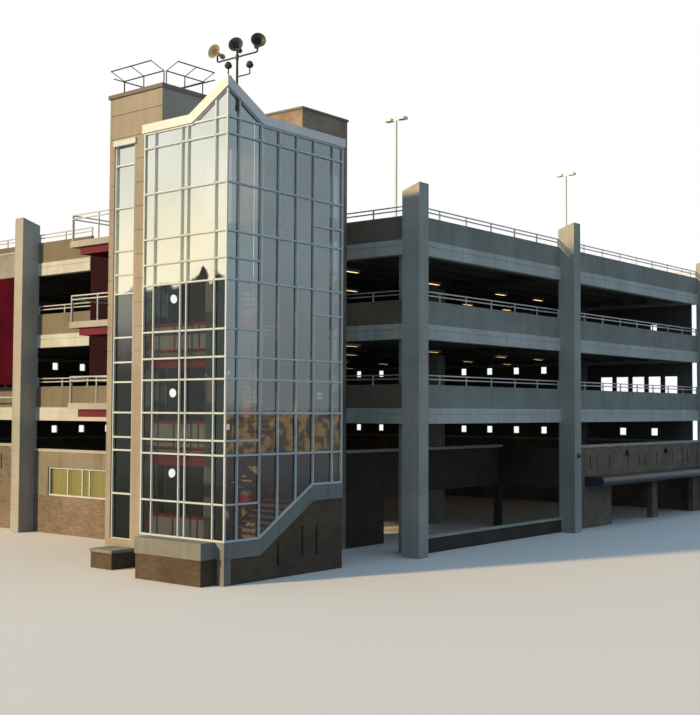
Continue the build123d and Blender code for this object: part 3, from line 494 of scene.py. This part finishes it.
# The tower's sill band and the caps of its plinths are the same cast units in a greyer concrete. Their dark
# tone is partly painted shade, for the shadow that falls on the tower's foot.

sill_concrete = new_material("sill_concrete", 0.85)
join(sill_concrete, weathered(sill_concrete, (0.26, 0.275, 0.27), mottle=0.10, streak=0.14), "Base Color")
bump(sill_concrete, noise(sill_concrete, 35.0), 0.002)
dress(sill_concrete, "tower_concrete_base", "plinth_caps")

# The office bay is a wall of concrete panels over a brick sill wall. It holds a ribbon window in a
# metal frame.

office_face = bricks("office_wall_face", (0.27, 0.21, 0.165), (0.17, 0.125, 0.095), (0.34, 0.31, 0.27))
x, y, z = place_of(office_face)
sill_wall_top = 1.65
over = maths(office_face, "GREATER_THAN", z, sill_wall_top)
panels = weathered(office_face, (0.27, 0.255, 0.21), mottle=0.12, streak=0.30)
wall_colour = shader_of(office_face).inputs["Base Color"].links[0].from_socket
join(office_face, mixed(office_face, over, wall_colour, panels), "Base Color")
dress(office_face, "office_wall")

# Slatted blinds hang behind the office window from a head rail, with woven tapes down their
# length. Their warm glow is painted light, for the room's lamps that light them.

blind_left, blind_right = -16.93, -11.60
blind_y = 5.985
blind_pitch = 0.055
blind_foot, blind_top = 1.70, 2.84
slat_count = 21
slat_top = 1.749
slat_half, rail_half = 0.003, 0.02
tape_width = 0.02
blind_glow = glowing("lit_blind", (0.62, 0.50, 0.13), 0.85)
slat_low = (blind_left, blind_y - slat_half, blind_foot)
slat = box_piece("office_blinds", slat_low, (blind_right, blind_y + slat_half, slat_top), 0.001)
bpy.ops.mesh.subdivide(number_cuts=1)
slat = closed(slat)
slat = repeated(slat, "office_blinds", [(0, 0, n * blind_pitch) for n in range(slat_count)])
rail_low = (blind_left, blind_y - rail_half, blind_top - 0.01)
rail_high = (blind_right, blind_y + rail_half, blind_top + 0.03)
rail = closed(box_piece("blind_rail", rail_low, rail_high, 0.004))
tapes = []
for x in (-16.5, -15.1, -13.6, -12.2):
    tape_high = (x + tape_width, blind_y + rail_half, blind_top)
    tapes.append(closed(box_piece("blind_tape", (x, blind_y - rail_half, blind_foot), tape_high)))
joined("office_blinds", [slat, rail, *tapes], blind_glow)

# The awning over the drive-in entrances is folded from coated sheet, slate grey with a rounded nose.
# Its sheets meet in narrow folded joints.

slate = new_material("slate_metal", 0.4, 0.0, 0.25)
x, y, z = place_of(slate)
sheet_width = 0.6
seam = spread(slate, maths(slate, "PINGPONG", y, sheet_width), 0.0, 0.012, 1.0, 0.0)
colour = weathered(slate, (0.045, 0.056, 0.068), mottle=0.25, streak=0.1)
join(slate, mixed(slate, seam, colour, (0.02, 0.025, 0.03)), "Base Color")
bump(slate, maths(slate, "MULTIPLY", seam, -1.0), 0.006)
dress(slate, "awning")

# The lift shaft is clad in large precast concrete panels, hung with open joints between them. Rain
# has left faint streaks on them.

panelled = new_material("panel_concrete", 0.85)
join(panelled, weathered(panelled, (0.385, 0.36, 0.32), mottle=0.07, streak=0.10), "Base Color")
bump(panelled, noise(panelled, 28.0), 0.003)
dress(panelled, "lift_shaft")

# The core behind the tower is laid in the same bond as the ground storey walls, in a warmer and
# paler brick.

core_brick = bricks("core_brick", (0.40, 0.31, 0.23), (0.28, 0.21, 0.155), (0.45, 0.41, 0.35))
dress(core_brick, "brick_core")

# The stair is steel, painted dark red, with concrete landings and treads. The channels along the
# landing edges are the same steel in a darker coat.

red_steel = new_material("red_steel", 0.45)
join(red_steel, weathered(red_steel, (0.34, 0.012, 0.045), mottle=0.12, streak=0.10), "Base Color")
bump(red_steel, noise(red_steel, 50.0), 0.001)
dress(red_steel, "stair_steel")
channel_red = new_material("channel_red", 0.5)
join(channel_red, weathered(channel_red, (0.15, 0.010, 0.022), mottle=0.12, streak=0.12), "Base Color")
bump(channel_red, noise(channel_red, 50.0), 0.001)
dress(channel_red, "landing_channels")
stair_concrete = new_material("stair_concrete", 0.85)
join(stair_concrete, weathered(stair_concrete, (0.26, 0.255, 0.235)), "Base Color")
bump(stair_concrete, noise(stair_concrete, 30.0), 0.002)
dress(stair_concrete, "tower_landings", "stair_treads")

# The guards on the half landings are filled with fine galvanised mesh, framed between their posts
# and seen as grey fields behind the glass.

mesh_metal = new_material("guard_mesh", 0.5, 0.1)
x, y, z = place_of(mesh_metal)
wire = 0.01
open_x = maths(mesh_metal, "GREATER_THAN", maths(mesh_metal, "PINGPONG", x, wire), wire / 2)
open_z = maths(mesh_metal, "GREATER_THAN", maths(mesh_metal, "PINGPONG", z, wire), wire / 2)
wires = weathered(mesh_metal, (0.42, 0.50, 0.54), mottle=0.10, streak=0.05)
woven = mixed(mesh_metal, maths(mesh_metal, "MULTIPLY", open_x, open_z), wires, (0.20, 0.24, 0.26))
join(mesh_metal, woven, "Base Color")
bump(mesh_metal, maths(mesh_metal, "MAXIMUM", open_x, open_z), 0.001)
guard_from, guard_to = -3.63, -0.09
guard_bar = 0.05
guard_height = 0.95
fields = 3
field_pitch = (guard_to - guard_from - guard_bar) / fields
mesh_spans = []
half_landings = (1.10, 4.15, 7.325, 10.575)
mesh_front, mesh_back = 0.062, 0.068
for floor_level in half_landings:
    for n in range(fields):
        left = guard_from + guard_bar + n * field_pitch
        right = guard_from + (n + 1) * field_pitch
        low, high_edge = floor_level + 2 * guard_bar, floor_level + guard_height - 2 * guard_bar
        mesh_spans.append(((left, mesh_front, low), (right, mesh_back, high_edge)))
bars("guard_mesh", mesh_spans, 0.001, mesh_metal)

# Round bulkhead lamps light the stair. Each is a metal ring screwed to the wall round a domed white
# diffuser.


def lathed(name, profile, sides=24):
    """A turned piece about Z: a disc primitive, extruded and resized along (radius, height) points."""
    radius, height = profile[0]
    foot = (0, 0, height)
    bpy.ops.object.select_all(action="DESELECT")
    bpy.ops.mesh.primitive_circle_add(vertices=sides, radius=radius, fill_type="NGON", location=foot)
    bpy.ops.object.transform_apply(location=True, rotation=True, scale=True)
    piece = bpy.context.object
    piece.name = name
    bpy.ops.object.mode_set(mode="EDIT")
    bpy.ops.mesh.select_mode(type="FACE")
    bpy.ops.mesh.select_all(action="SELECT")
    for next_radius, next_height in profile[1:]:
        step = (0, 0, next_height - height)
        bpy.ops.mesh.extrude_region_move(TRANSFORM_OT_translate={"value": step})
        grow = next_radius / radius
        bpy.ops.transform.resize(value=(grow, grow, 1.0), center_override=(0, 0, next_height))
        radius, height = next_radius, next_height
    bpy.ops.mesh.select_all(action="SELECT")
    bpy.ops.mesh.normals_make_consistent(inside=False)
    bpy.ops.object.mode_set(mode="OBJECT")
    bpy.ops.object.shade_smooth_by_angle(angle=math.radians(35))
    return piece


white_glow = glowing("white_diffuser", (1.0, 0.98, 0.93), 2.2)
lamp_wall = -4.25
lamp_y = 1.6
upright_disc = Matrix.Rotation(math.radians(90), 4, "Y")
diffuser_profile = [(0.15, 0.0), (0.15, 0.03), (0.14, 0.05), (0.11, 0.075), (0.06, 0.09), (0.015, 0.095)]
lamp_heights = (9.30, 6.03, 3.26)
lamp_spots = [Matrix.Translation((lamp_wall, lamp_y, z)) @ upright_disc for z in lamp_heights]
diffusers = repeated(lathed("stair_lamps", diffuser_profile), "stair_lamps", lamp_spots)
joined("stair_lamps", [diffusers], white_glow)
ring_profile = [(0.19, 0.0), (0.19, 0.025), (0.17, 0.035), (0.152, 0.035), (0.152, 0.004)]
rings = repeated(lathed("stair_lamp_rings", ring_profile), "stair_lamp_rings", lamp_spots)
joined("stair_lamp_rings", [rings], galvanised)

# The guards on the shaft's roof are dark painted steel tube. They lean outward over its edges, on
# short legs that stand on the lid.

dark_steel = new_material("dark_steel", 0.5, 0.1)
join(dark_steel, weathered(dark_steel, (0.060, 0.063, 0.067), mottle=0.12), "Base Color")
bump(dark_steel, noise(dark_steel, 60.0), 0.001)
dress(dark_steel, "shaft_guards")

# The curtain wall of the stair tower is a grid of pale coated aluminium bars. Each bar carries a
# pressure cap on its outside, with a narrow shadow gap.

white_frame = new_material("white_frame", 0.45, 0.1)
# Their cool blue tint is partly painted shade: the cool of sky light on frames out of the sun.
colour = weathered(white_frame, (0.62, 0.71, 0.76), mottle=0.04, streak=0.05, grain=90.0)
join(white_frame, colour, "Base Color")
bump(white_frame, noise(white_frame, 70.0), 0.0008)
dress(white_frame, "tower_frame_front", "tower_frame_right", "tower_frame_inner", "window_frames")
tower_face = -0.15
tower_side = 0.15
cap_half = 0.022
cap_proud = 0.014
tower_left, tower_back = -3.83, 5.56
head = 14.72
sill_low, sill_high = 1.36, 2.93
rake_from, rake_to = 1.44, 4.03


def sill_at(y):
    """Height of the raked sill beside the stair."""
    share = min(1.0, max(0.0, (y - rake_from) / (rake_to - rake_from)))
    return sill_low + share * (sill_high - sill_low)


cap_ease = 0.004
sill_gap = 0.02
front_uprights = (-0.40, -1.69, -1.98, -3.28)
right_uprights = (0.40, 1.41, 2.27, 3.15, 4.02, 5.01)
shared_levels = (4.02, 5.345, 6.42, 7.12, 9.56, 11.1, 12.64, 14.18)
corner_levels = (2.49, 4.48, 8.0, 10.25)
rear_levels = (8.7, 11.75)
front_caps = [((x - cap_half, tower_face - cap_proud, sill_low), (x + cap_half, tower_face, head))
              for x in front_uprights]
front_caps += [((tower_left, tower_face - cap_proud, z - cap_half), (tower_side, tower_face, z + cap_half))
               for z in sorted(shared_levels + corner_levels)]
bars("front_glazing_caps", front_caps, cap_ease, white_frame)
proud_side = tower_side + cap_proud
right_caps = [((tower_side, y - cap_half, sill_at(y) + sill_gap), (proud_side, y + cap_half, head))
              for y in right_uprights]
for levels, near_end, far_end in ((shared_levels, tower_face, tower_back),
                                  (corner_levels, tower_face, right_uprights[1]),
                                  (rear_levels, right_uprights[4], tower_back)):
    right_caps += [((tower_side, near_end, z - cap_half), (proud_side, far_end, z + cap_half))
                   for z in levels]
bars("right_glazing_caps", right_caps, cap_ease, white_frame)

# A folded sheet box closes the head of the shaft's strip window. It is coated like the window's
# frame, and its face is slightly sunk.

strip_low, strip_high = (-6.81, 0.93, 14.87), (-5.58, 1.0, 15.08)
strip_head = box_piece("strip_window_head", strip_low, strip_high, 0.008, 2)
pick(strip_head, lambda middle, normal: normal.y < -0.9)
bpy.ops.mesh.inset(thickness=0.025, depth=-0.006)
done(strip_head, white_frame)

# The glass of the tower and of the windows is coated. Its colours are painted reflection: pale sky on the
# upper panes, dark trees below a wavering tree line, brown foliage and grey-blue sky on the right side.
# Its upper panes are also more opaque and mirror more, and its lower ones are clearer, so that the stair,
# the lamps and the blinds show through them.

pane_glass = new_material("coated_glass", 0.03, 1.0)
x, y, z = place_of(pane_glass)


def near(material, value, at, reach=0.008):
    """1 where a value lies within reach of a plane."""
    return add(material, "ShaderNodeMath", {0: value, 1: at, 2: reach}, operation="COMPARE").outputs[0]


glass_outside = -0.09
strip_outside = 1.12
office_outside = 5.89
faces_front = near(pane_glass, y, glass_outside)
for plane in (strip_outside, office_outside):
    faces_front = maths(pane_glass, "MAXIMUM", faces_front, near(pane_glass, y, plane))
faces_right = near(pane_glass, x, -glass_outside)
# The painted tree line between the sky and dark reflections wavers, and rises unevenly near the corner.
treeline_wobble = maths(pane_glass, "MULTIPLY", noise(pane_glass, 1.1, detail=4.0), 0.35)
before_corner = spread(pane_glass, x, 0.05, -0.35)
by_corner = maths(pane_glass, "MULTIPLY", spread(pane_glass, x, -1.6, -0.9), before_corner)
uneven = maths(pane_glass, "MULTIPLY", noise(pane_glass, 1.3, detail=3.0), by_corner)
edge_rise = maths(pane_glass, "MULTIPLY", uneven, 0.45)
edge = maths(pane_glass, "SUBTRACT", maths(pane_glass, "ADD", z, treeline_wobble), edge_rise)
pale_from, pale_full = 9.68, 9.88
high = spread(pane_glass, edge, pale_from, pale_full)
# The upper panes carry painted sky reflection, cream lower down and greyer near the top.
painted_sky_reflection = mixed(pane_glass, spread(pane_glass, z, 10.5, 14.5), (1.0, 0.92, 0.66), (0.80, 0.82, 0.72))
# On the strip window the painted dark reflection grows paler towards the tree line.
on_strip = near(pane_glass, y, strip_outside)
strip_painted_reflection = maths(pane_glass, "MULTIPLY", on_strip, spread(pane_glass, edge, 6.6, 9.8))
painted_dark_reflection = mixed(pane_glass, strip_painted_reflection, (0.055, 0.065, 0.058), (0.42, 0.42, 0.35))
front_painted_reflection = mixed(pane_glass, high, painted_dark_reflection, painted_sky_reflection)
# On the right side, the lower panes carry a band of brown blotches painted as reflected foliage, dark below
# it.
tree_reflection_blotches = noise(pane_glass, 3.2, detail=5.0, low=0.44, high=0.58)
brown = mixed(pane_glass, tree_reflection_blotches, (0.075, 0.073, 0.065), (0.235, 0.165, 0.080))
low_painted_reflection = mixed(pane_glass, spread(pane_glass, z, 3.9, 4.15), (0.075, 0.075, 0.08), brown)
# Above them the right side carries painted grey-blue sky reflection, bluer higher up.
sky_reflection_low, sky_reflection_high = (0.204, 0.232, 0.235), (0.247, 0.31, 0.33)
painted_sky_haze = mixed(pane_glass, spread(pane_glass, z, 6.0, 11.0), sky_reflection_low, sky_reflection_high)
right_painted_reflection = mixed(pane_glass, spread(pane_glass, z, 5.2, 5.6), low_painted_reflection, painted_sky_haze)
painted_reflections = mixed(pane_glass, faces_front, right_painted_reflection, front_painted_reflection)
pane_tone = mixed(pane_glass, noise(pane_glass, 0.45, detail=1.0), (0.92, 0.92, 0.92), (1.0, 1.0, 1.0))
join(pane_glass, mixed(pane_glass, 1.0, painted_reflections, pane_tone, "MULTIPLY"), "Base Color")
cover_low, cover_high = 0.48, 0.90
cover_right, cover_away = 0.60, 0.86
cover_corner, cover_side = 0.84, 0.80
front_cover = spread(pane_glass, high, 0.0, 1.0, cover_low, cover_high)
front_cover = maths(pane_glass, "MULTIPLY", faces_front, front_cover)
corner_cover = spread(pane_glass, x, -1.05, -0.75, 0.0, cover_corner)
corner_cover = maths(pane_glass, "MULTIPLY", faces_front, corner_cover)
front_cover = maths(pane_glass, "MAXIMUM", front_cover, corner_cover)
right_cover = maths(pane_glass, "MULTIPLY", faces_right, cover_right)
side_strength = spread(pane_glass, z, 5.2, 5.8, 0.0, cover_side)
by_side = maths(pane_glass, "MULTIPLY", spread(pane_glass, y, 1.80, 1.50), side_strength)
side_cover = maths(pane_glass, "MULTIPLY", faces_right, by_side)
right_cover = maths(pane_glass, "MAXIMUM", right_cover, side_cover)
rear_outside, left_outside = 5.50, -3.77
on_left = near(pane_glass, x, left_outside)
faces_away = maths(pane_glass, "MAXIMUM", near(pane_glass, y, rear_outside), on_left)
away_cover = maths(pane_glass, "MULTIPLY", faces_away, cover_away)
cover = maths(pane_glass, "MAXIMUM", maths(pane_glass, "MAXIMUM", front_cover, right_cover), away_cover)
clear = 0.06
join(pane_glass, maths(pane_glass, "ADD", cover, clear), "Alpha")
join(pane_glass, spread(pane_glass, noise(pane_glass, 2.5), 0.0, 1.0, 0.015, 0.05), "Roughness")
bump(pane_glass, noise(pane_glass, 0.7, detail=1.0), 0.001)
dress(pane_glass, "tower_glass", "window_glass")

# The tower's cap is folded grey metal over the head of the curtain wall, and its roof is metal too.
# The coping lids of the shaft and of the core are darker metal sheet.

cap_metal = new_material("cap_metal", 0.5, 0.15)
join(cap_metal, weathered(cap_metal, (0.69, 0.75, 0.80), mottle=0.05, streak=0.08), "Base Color")
bump(cap_metal, noise(cap_metal, 40.0), 0.001)
dress(cap_metal, "tower_cap", "tower_roof")
lid_metal = new_material("lid_metal", 0.6, 0.1)
join(lid_metal, weathered(lid_metal, (0.17, 0.16, 0.145), mottle=0.10, streak=0.10), "Base Color")
bump(lid_metal, noise(lid_metal, 40.0), 0.001)
dress(lid_metal, "shaft_lids")

# The mast over the tower's peak is painted tube. An arm with upturned ends and the mast's top each
# carry a spun metal horn, and two lamp domes stand below them on thin stems.


def tube(name, points, radius):
    """A tube along points: a path primitive with a round bevel, made a mesh."""
    bpy.ops.object.select_all(action="DESELECT")
    bpy.ops.curve.primitive_nurbs_path_add(location=(0, 0, 0))
    path = bpy.context.object
    path.name = name
    line = path.data.splines[0]
    line.points.add(max(0, len(points) - len(line.points)))
    for point, place in zip(line.points, points):
        point.co = (*place, 1.0)
    line.order_u = 3
    line.use_endpoint_u = True
    line.resolution_u = 4
    path.data.bevel_depth = radius
    path.data.bevel_resolution = 3
    path.data.use_fill_caps = True
    bpy.ops.object.convert(target="MESH")
    return bpy.context.object


mast_x, mast_y = 0.09, 0.30
arm_z = 16.69
arm_reach = 0.90
left_x, right_x = mast_x - arm_reach, mast_x + arm_reach
horn_z = (16.98, 17.02, 16.98)
bend = 0.14
tip_gap = 0.04
arm_line = ((left_x, horn_z[0] - tip_gap), (left_x, arm_z + bend), (left_x, arm_z), (left_x + bend, arm_z),
            (mast_x, arm_z), (right_x - bend, arm_z), (right_x, arm_z), (right_x, arm_z + bend),
            (right_x, horn_z[2] - tip_gap))
arm_points = [(x, mast_y, z) for x, z in arm_line]
pole_profile = [(0.055, 14.95), (0.055, 15.12), (0.04, 15.14), (0.04, 16.60), (0.052, 16.61),
                (0.052, 16.77), (0.034, 16.78), (0.034, 16.97)]
pole = lathed("lamp_mast_tube", pole_profile, 16)
pole.data.transform(Matrix.Translation((mast_x, mast_y, 0)))
dome_x, dome_z = 0.65, 16.34
stem_z = 16.05
stem_bend = 0.08
stem_points = [(mast_x, mast_y, stem_z), (0.35, mast_y, stem_z), (dome_x - stem_bend, mast_y, stem_z),
               (dome_x, mast_y, stem_z), (dome_x, mast_y, stem_z + stem_bend), (dome_x, mast_y, dome_z)]
dome_arm = tube("dome_arm", stem_points, 0.02)
peak_dome = (0.15, -0.15, 16.30)
peak_stem = tube("peak_stem", [(*peak_dome[:2], z) for z in (15.98, 16.06, 16.14, 16.22, 16.30)], 0.022)
mast_parts = [pole, tube("arm", arm_points, 0.028), dome_arm, peak_stem]
mast_tube = joined("mast_tube", mast_parts, dark_steel)
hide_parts("lamp_mast")

dome_profile = [(0.05, -0.10), (0.10, -0.07), (0.122, -0.01), (0.122, 0.01), (0.10, 0.035),
                (0.09, 0.075), (0.06, 0.11), (0.01, 0.12)]
dome = lathed("lamp_domes", dome_profile)
domes = repeated(dome, "lamp_domes", [(dome_x, mast_y, dome_z), peak_dome])
joined("lamp_domes", [domes], dark_steel)

horn_profile = [(0.078, -0.12), (0.082, -0.10), (0.082, -0.01), (0.05, 0.0), (0.056, 0.10),
                (0.075, 0.19), (0.115, 0.27), (0.175, 0.335), (0.236, 0.372), (0.24, 0.378),
                (0.232, 0.38), (0.165, 0.335), (0.105, 0.27), (0.066, 0.20), (0.05, 0.20),
                (0.03, 0.26), (0.008, 0.28)]
horn_half = 0.19
horn_sides = 32
horn_headings = (-84, -62, -39)
horn_from_upright = 82
horn_gold = new_material("horn_gold", 0.45, 0.2)
join(horn_gold, weathered(horn_gold, (0.36, 0.32, 0.22), mottle=0.10, streak=0.10), "Base Color")
bump(horn_gold, noise(horn_gold, 50.0), 0.001)
horn_dark = new_material("horn_dark", 0.5, 0.2)
join(horn_dark, weathered(horn_dark, (0.07, 0.07, 0.068), mottle=0.15, streak=0.10), "Base Color")
bump(horn_dark, noise(horn_dark, 50.0), 0.001)
for n, (x, z, heading) in enumerate(zip((left_x, mast_x, right_x), horn_z, horn_headings)):
    horn = lathed(f"horn_{n + 1}", horn_profile, horn_sides)
    tip = Matrix.Rotation(math.radians(horn_from_upright), 4, "Y")
    tip = Matrix.Rotation(math.radians(heading), 4, "Z") @ tip
    horn.data.transform(Matrix.Translation((x, mast_y, z)) @ tip @ Matrix.Translation((0, 0, -horn_half)))
    joined(f"horn_{n + 1}", [horn], horn_dark if n else horn_gold)

# The upright panel is painted sheet metal, dark red like the steel of the landings. It is fixed to
# the facade beside them, from 6.9 m up to the edge of the roof deck.

red_panel = new_material("red_panel", 0.6, gloss=0.05)
# The panel's near black red is partly its own paint and partly painted shade, for the shadow it stands in.
join(red_panel, weathered(red_panel, (0.018, 0.003, 0.005), mottle=0.12, streak=0.12), "Base Color")
bump(red_panel, noise(red_panel, 50.0), 0.001)
dress(red_panel, "upright_panel")

# The banner is one width of dyed cloth with sewn hems, hung by its head from the upper rod. It
# bellies a little in the wind, and its head is a grey band.

low_corner, high_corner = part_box("banner")
banner_width = high_corner.x - low_corner.x
banner_drop = high_corner.z - low_corner.z
banner_middle = (low_corner + high_corner) / 2
bpy.ops.object.select_all(action="DESELECT")
bpy.ops.mesh.primitive_plane_add(size=1, location=banner_middle, rotation=(math.radians(90), 0, 0),
                                 scale=(banner_width, banner_drop, 1))
banner = bpy.context.object
banner.name = "banner_cloth"
banner.scale = (banner_width, banner_drop, 1)
bpy.ops.object.transform_apply(location=True, rotation=True, scale=True)
bpy.ops.object.mode_set(mode="EDIT")
bpy.ops.mesh.select_all(action="SELECT")
bpy.ops.mesh.subdivide(number_cuts=59)
bpy.ops.object.mode_set(mode="OBJECT")
belly = 0.009
head_share = 0.18
hem_height = 0.06
for vertex in banner.data.vertices:
    across = (vertex.co.x - low_corner.x) / banner_width
    down = (high_corner.z - vertex.co.z) / banner_drop
    fold = math.sin(across * math.pi * 5 + down * 2.2) * 0.6 + math.sin(down * math.pi * 3 + across) * 0.4
    vertex.co.y += belly * fold * min(1.0, down * 4)
banner_dye = new_material("banner_cloth", 0.9, gloss=0.05)
x, y, z = place_of(banner_dye)
band_foot = high_corner.z - head_share * banner_drop
band = spread(banner_dye, z, band_foot - 0.01, band_foot + 0.01)
weave = noise(banner_dye, 160.0, (1.0, 1.0, 0.4), detail=1.0)
# The red is the cloth's dark dye, made darker still as painted shade for the shadow the banner hangs in.
red_dye_and_shade = mixed(banner_dye, noise(banner_dye, 0.8), (0.050, 0.002, 0.009), (0.070, 0.003, 0.013))
grey_dye = mixed(banner_dye, noise(banner_dye, 0.8), (0.30, 0.30, 0.30), (0.38, 0.38, 0.38))
woven = mixed(banner_dye, weave, (0.9, 0.9, 0.9), (1.05, 1.05, 1.05))
dyed = mixed(banner_dye, band, red_dye_and_shade, grey_dye)
join(banner_dye, mixed(banner_dye, 1.0, dyed, woven, "MULTIPLY"), "Base Color")
bump(banner_dye, weave, 0.0008)
joined("banner_cloth", [banner], banner_dye)
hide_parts("banner")
hem = 0.006
hem_front, hem_back = banner_middle.y - hem, banner_middle.y + hem
hem_spans = [((low_corner.x, hem_front, z), (high_corner.x, hem_back, z + hem_height))
             for z in (low_corner.z, high_corner.z - hem_height)]
hems = bars("banner_hems", hem_spans, 0.003, banner_dye)

# Two small lights stand on brackets over the entrances, and a small camera on an arm is bolted to
# the middle pier. All three have painted metal housings.

wall_face = 0.05
pier_face = 0.75
camera_y = 21.51
boxes = []
for y in (27.83, 32.39):
    boxes.append(((wall_face, y - 0.16, 3.30), (wall_face + 0.20, y + 0.16, 3.52), 0.03, 2))
    boxes.append(((wall_face, y - 0.05, 3.24), (wall_face + 0.04, y + 0.05, 3.58), 0.006, 1))
boxes.append(((pier_face, 21.43, 3.40), (pier_face + 0.03, 21.59, 3.56), 0.004, 1))
boxes.append(((0.84, 21.30, 3.36), (0.96, 21.58, 3.45), 0.012, 2))
fittings = [closed(box_piece("wall_fitting", *box)) for box in boxes]
arm_line = ((pier_face, 3.48), (0.80, 3.48), (0.86, 3.48), (0.90, 3.46), (0.90, 3.42))
fittings.append(tube("camera_arm", [(x, camera_y, z) for x, z in arm_line], 0.014))
joined("wall_fittings", fittings, dark_steel)

# Roof lights stand on tall painted steel poles, bolted to the roof deck. Each has a lamp head at both
# ends of a short arm.

light_paint = new_material("light_paint", 0.45, 0.2)
join(light_paint, weathered(light_paint, (0.74, 0.78, 0.80), mottle=0.04, streak=0.05), "Base Color")
bump(light_paint, noise(light_paint, 60.0), 0.0008)
dress(light_paint, "roof_lights")
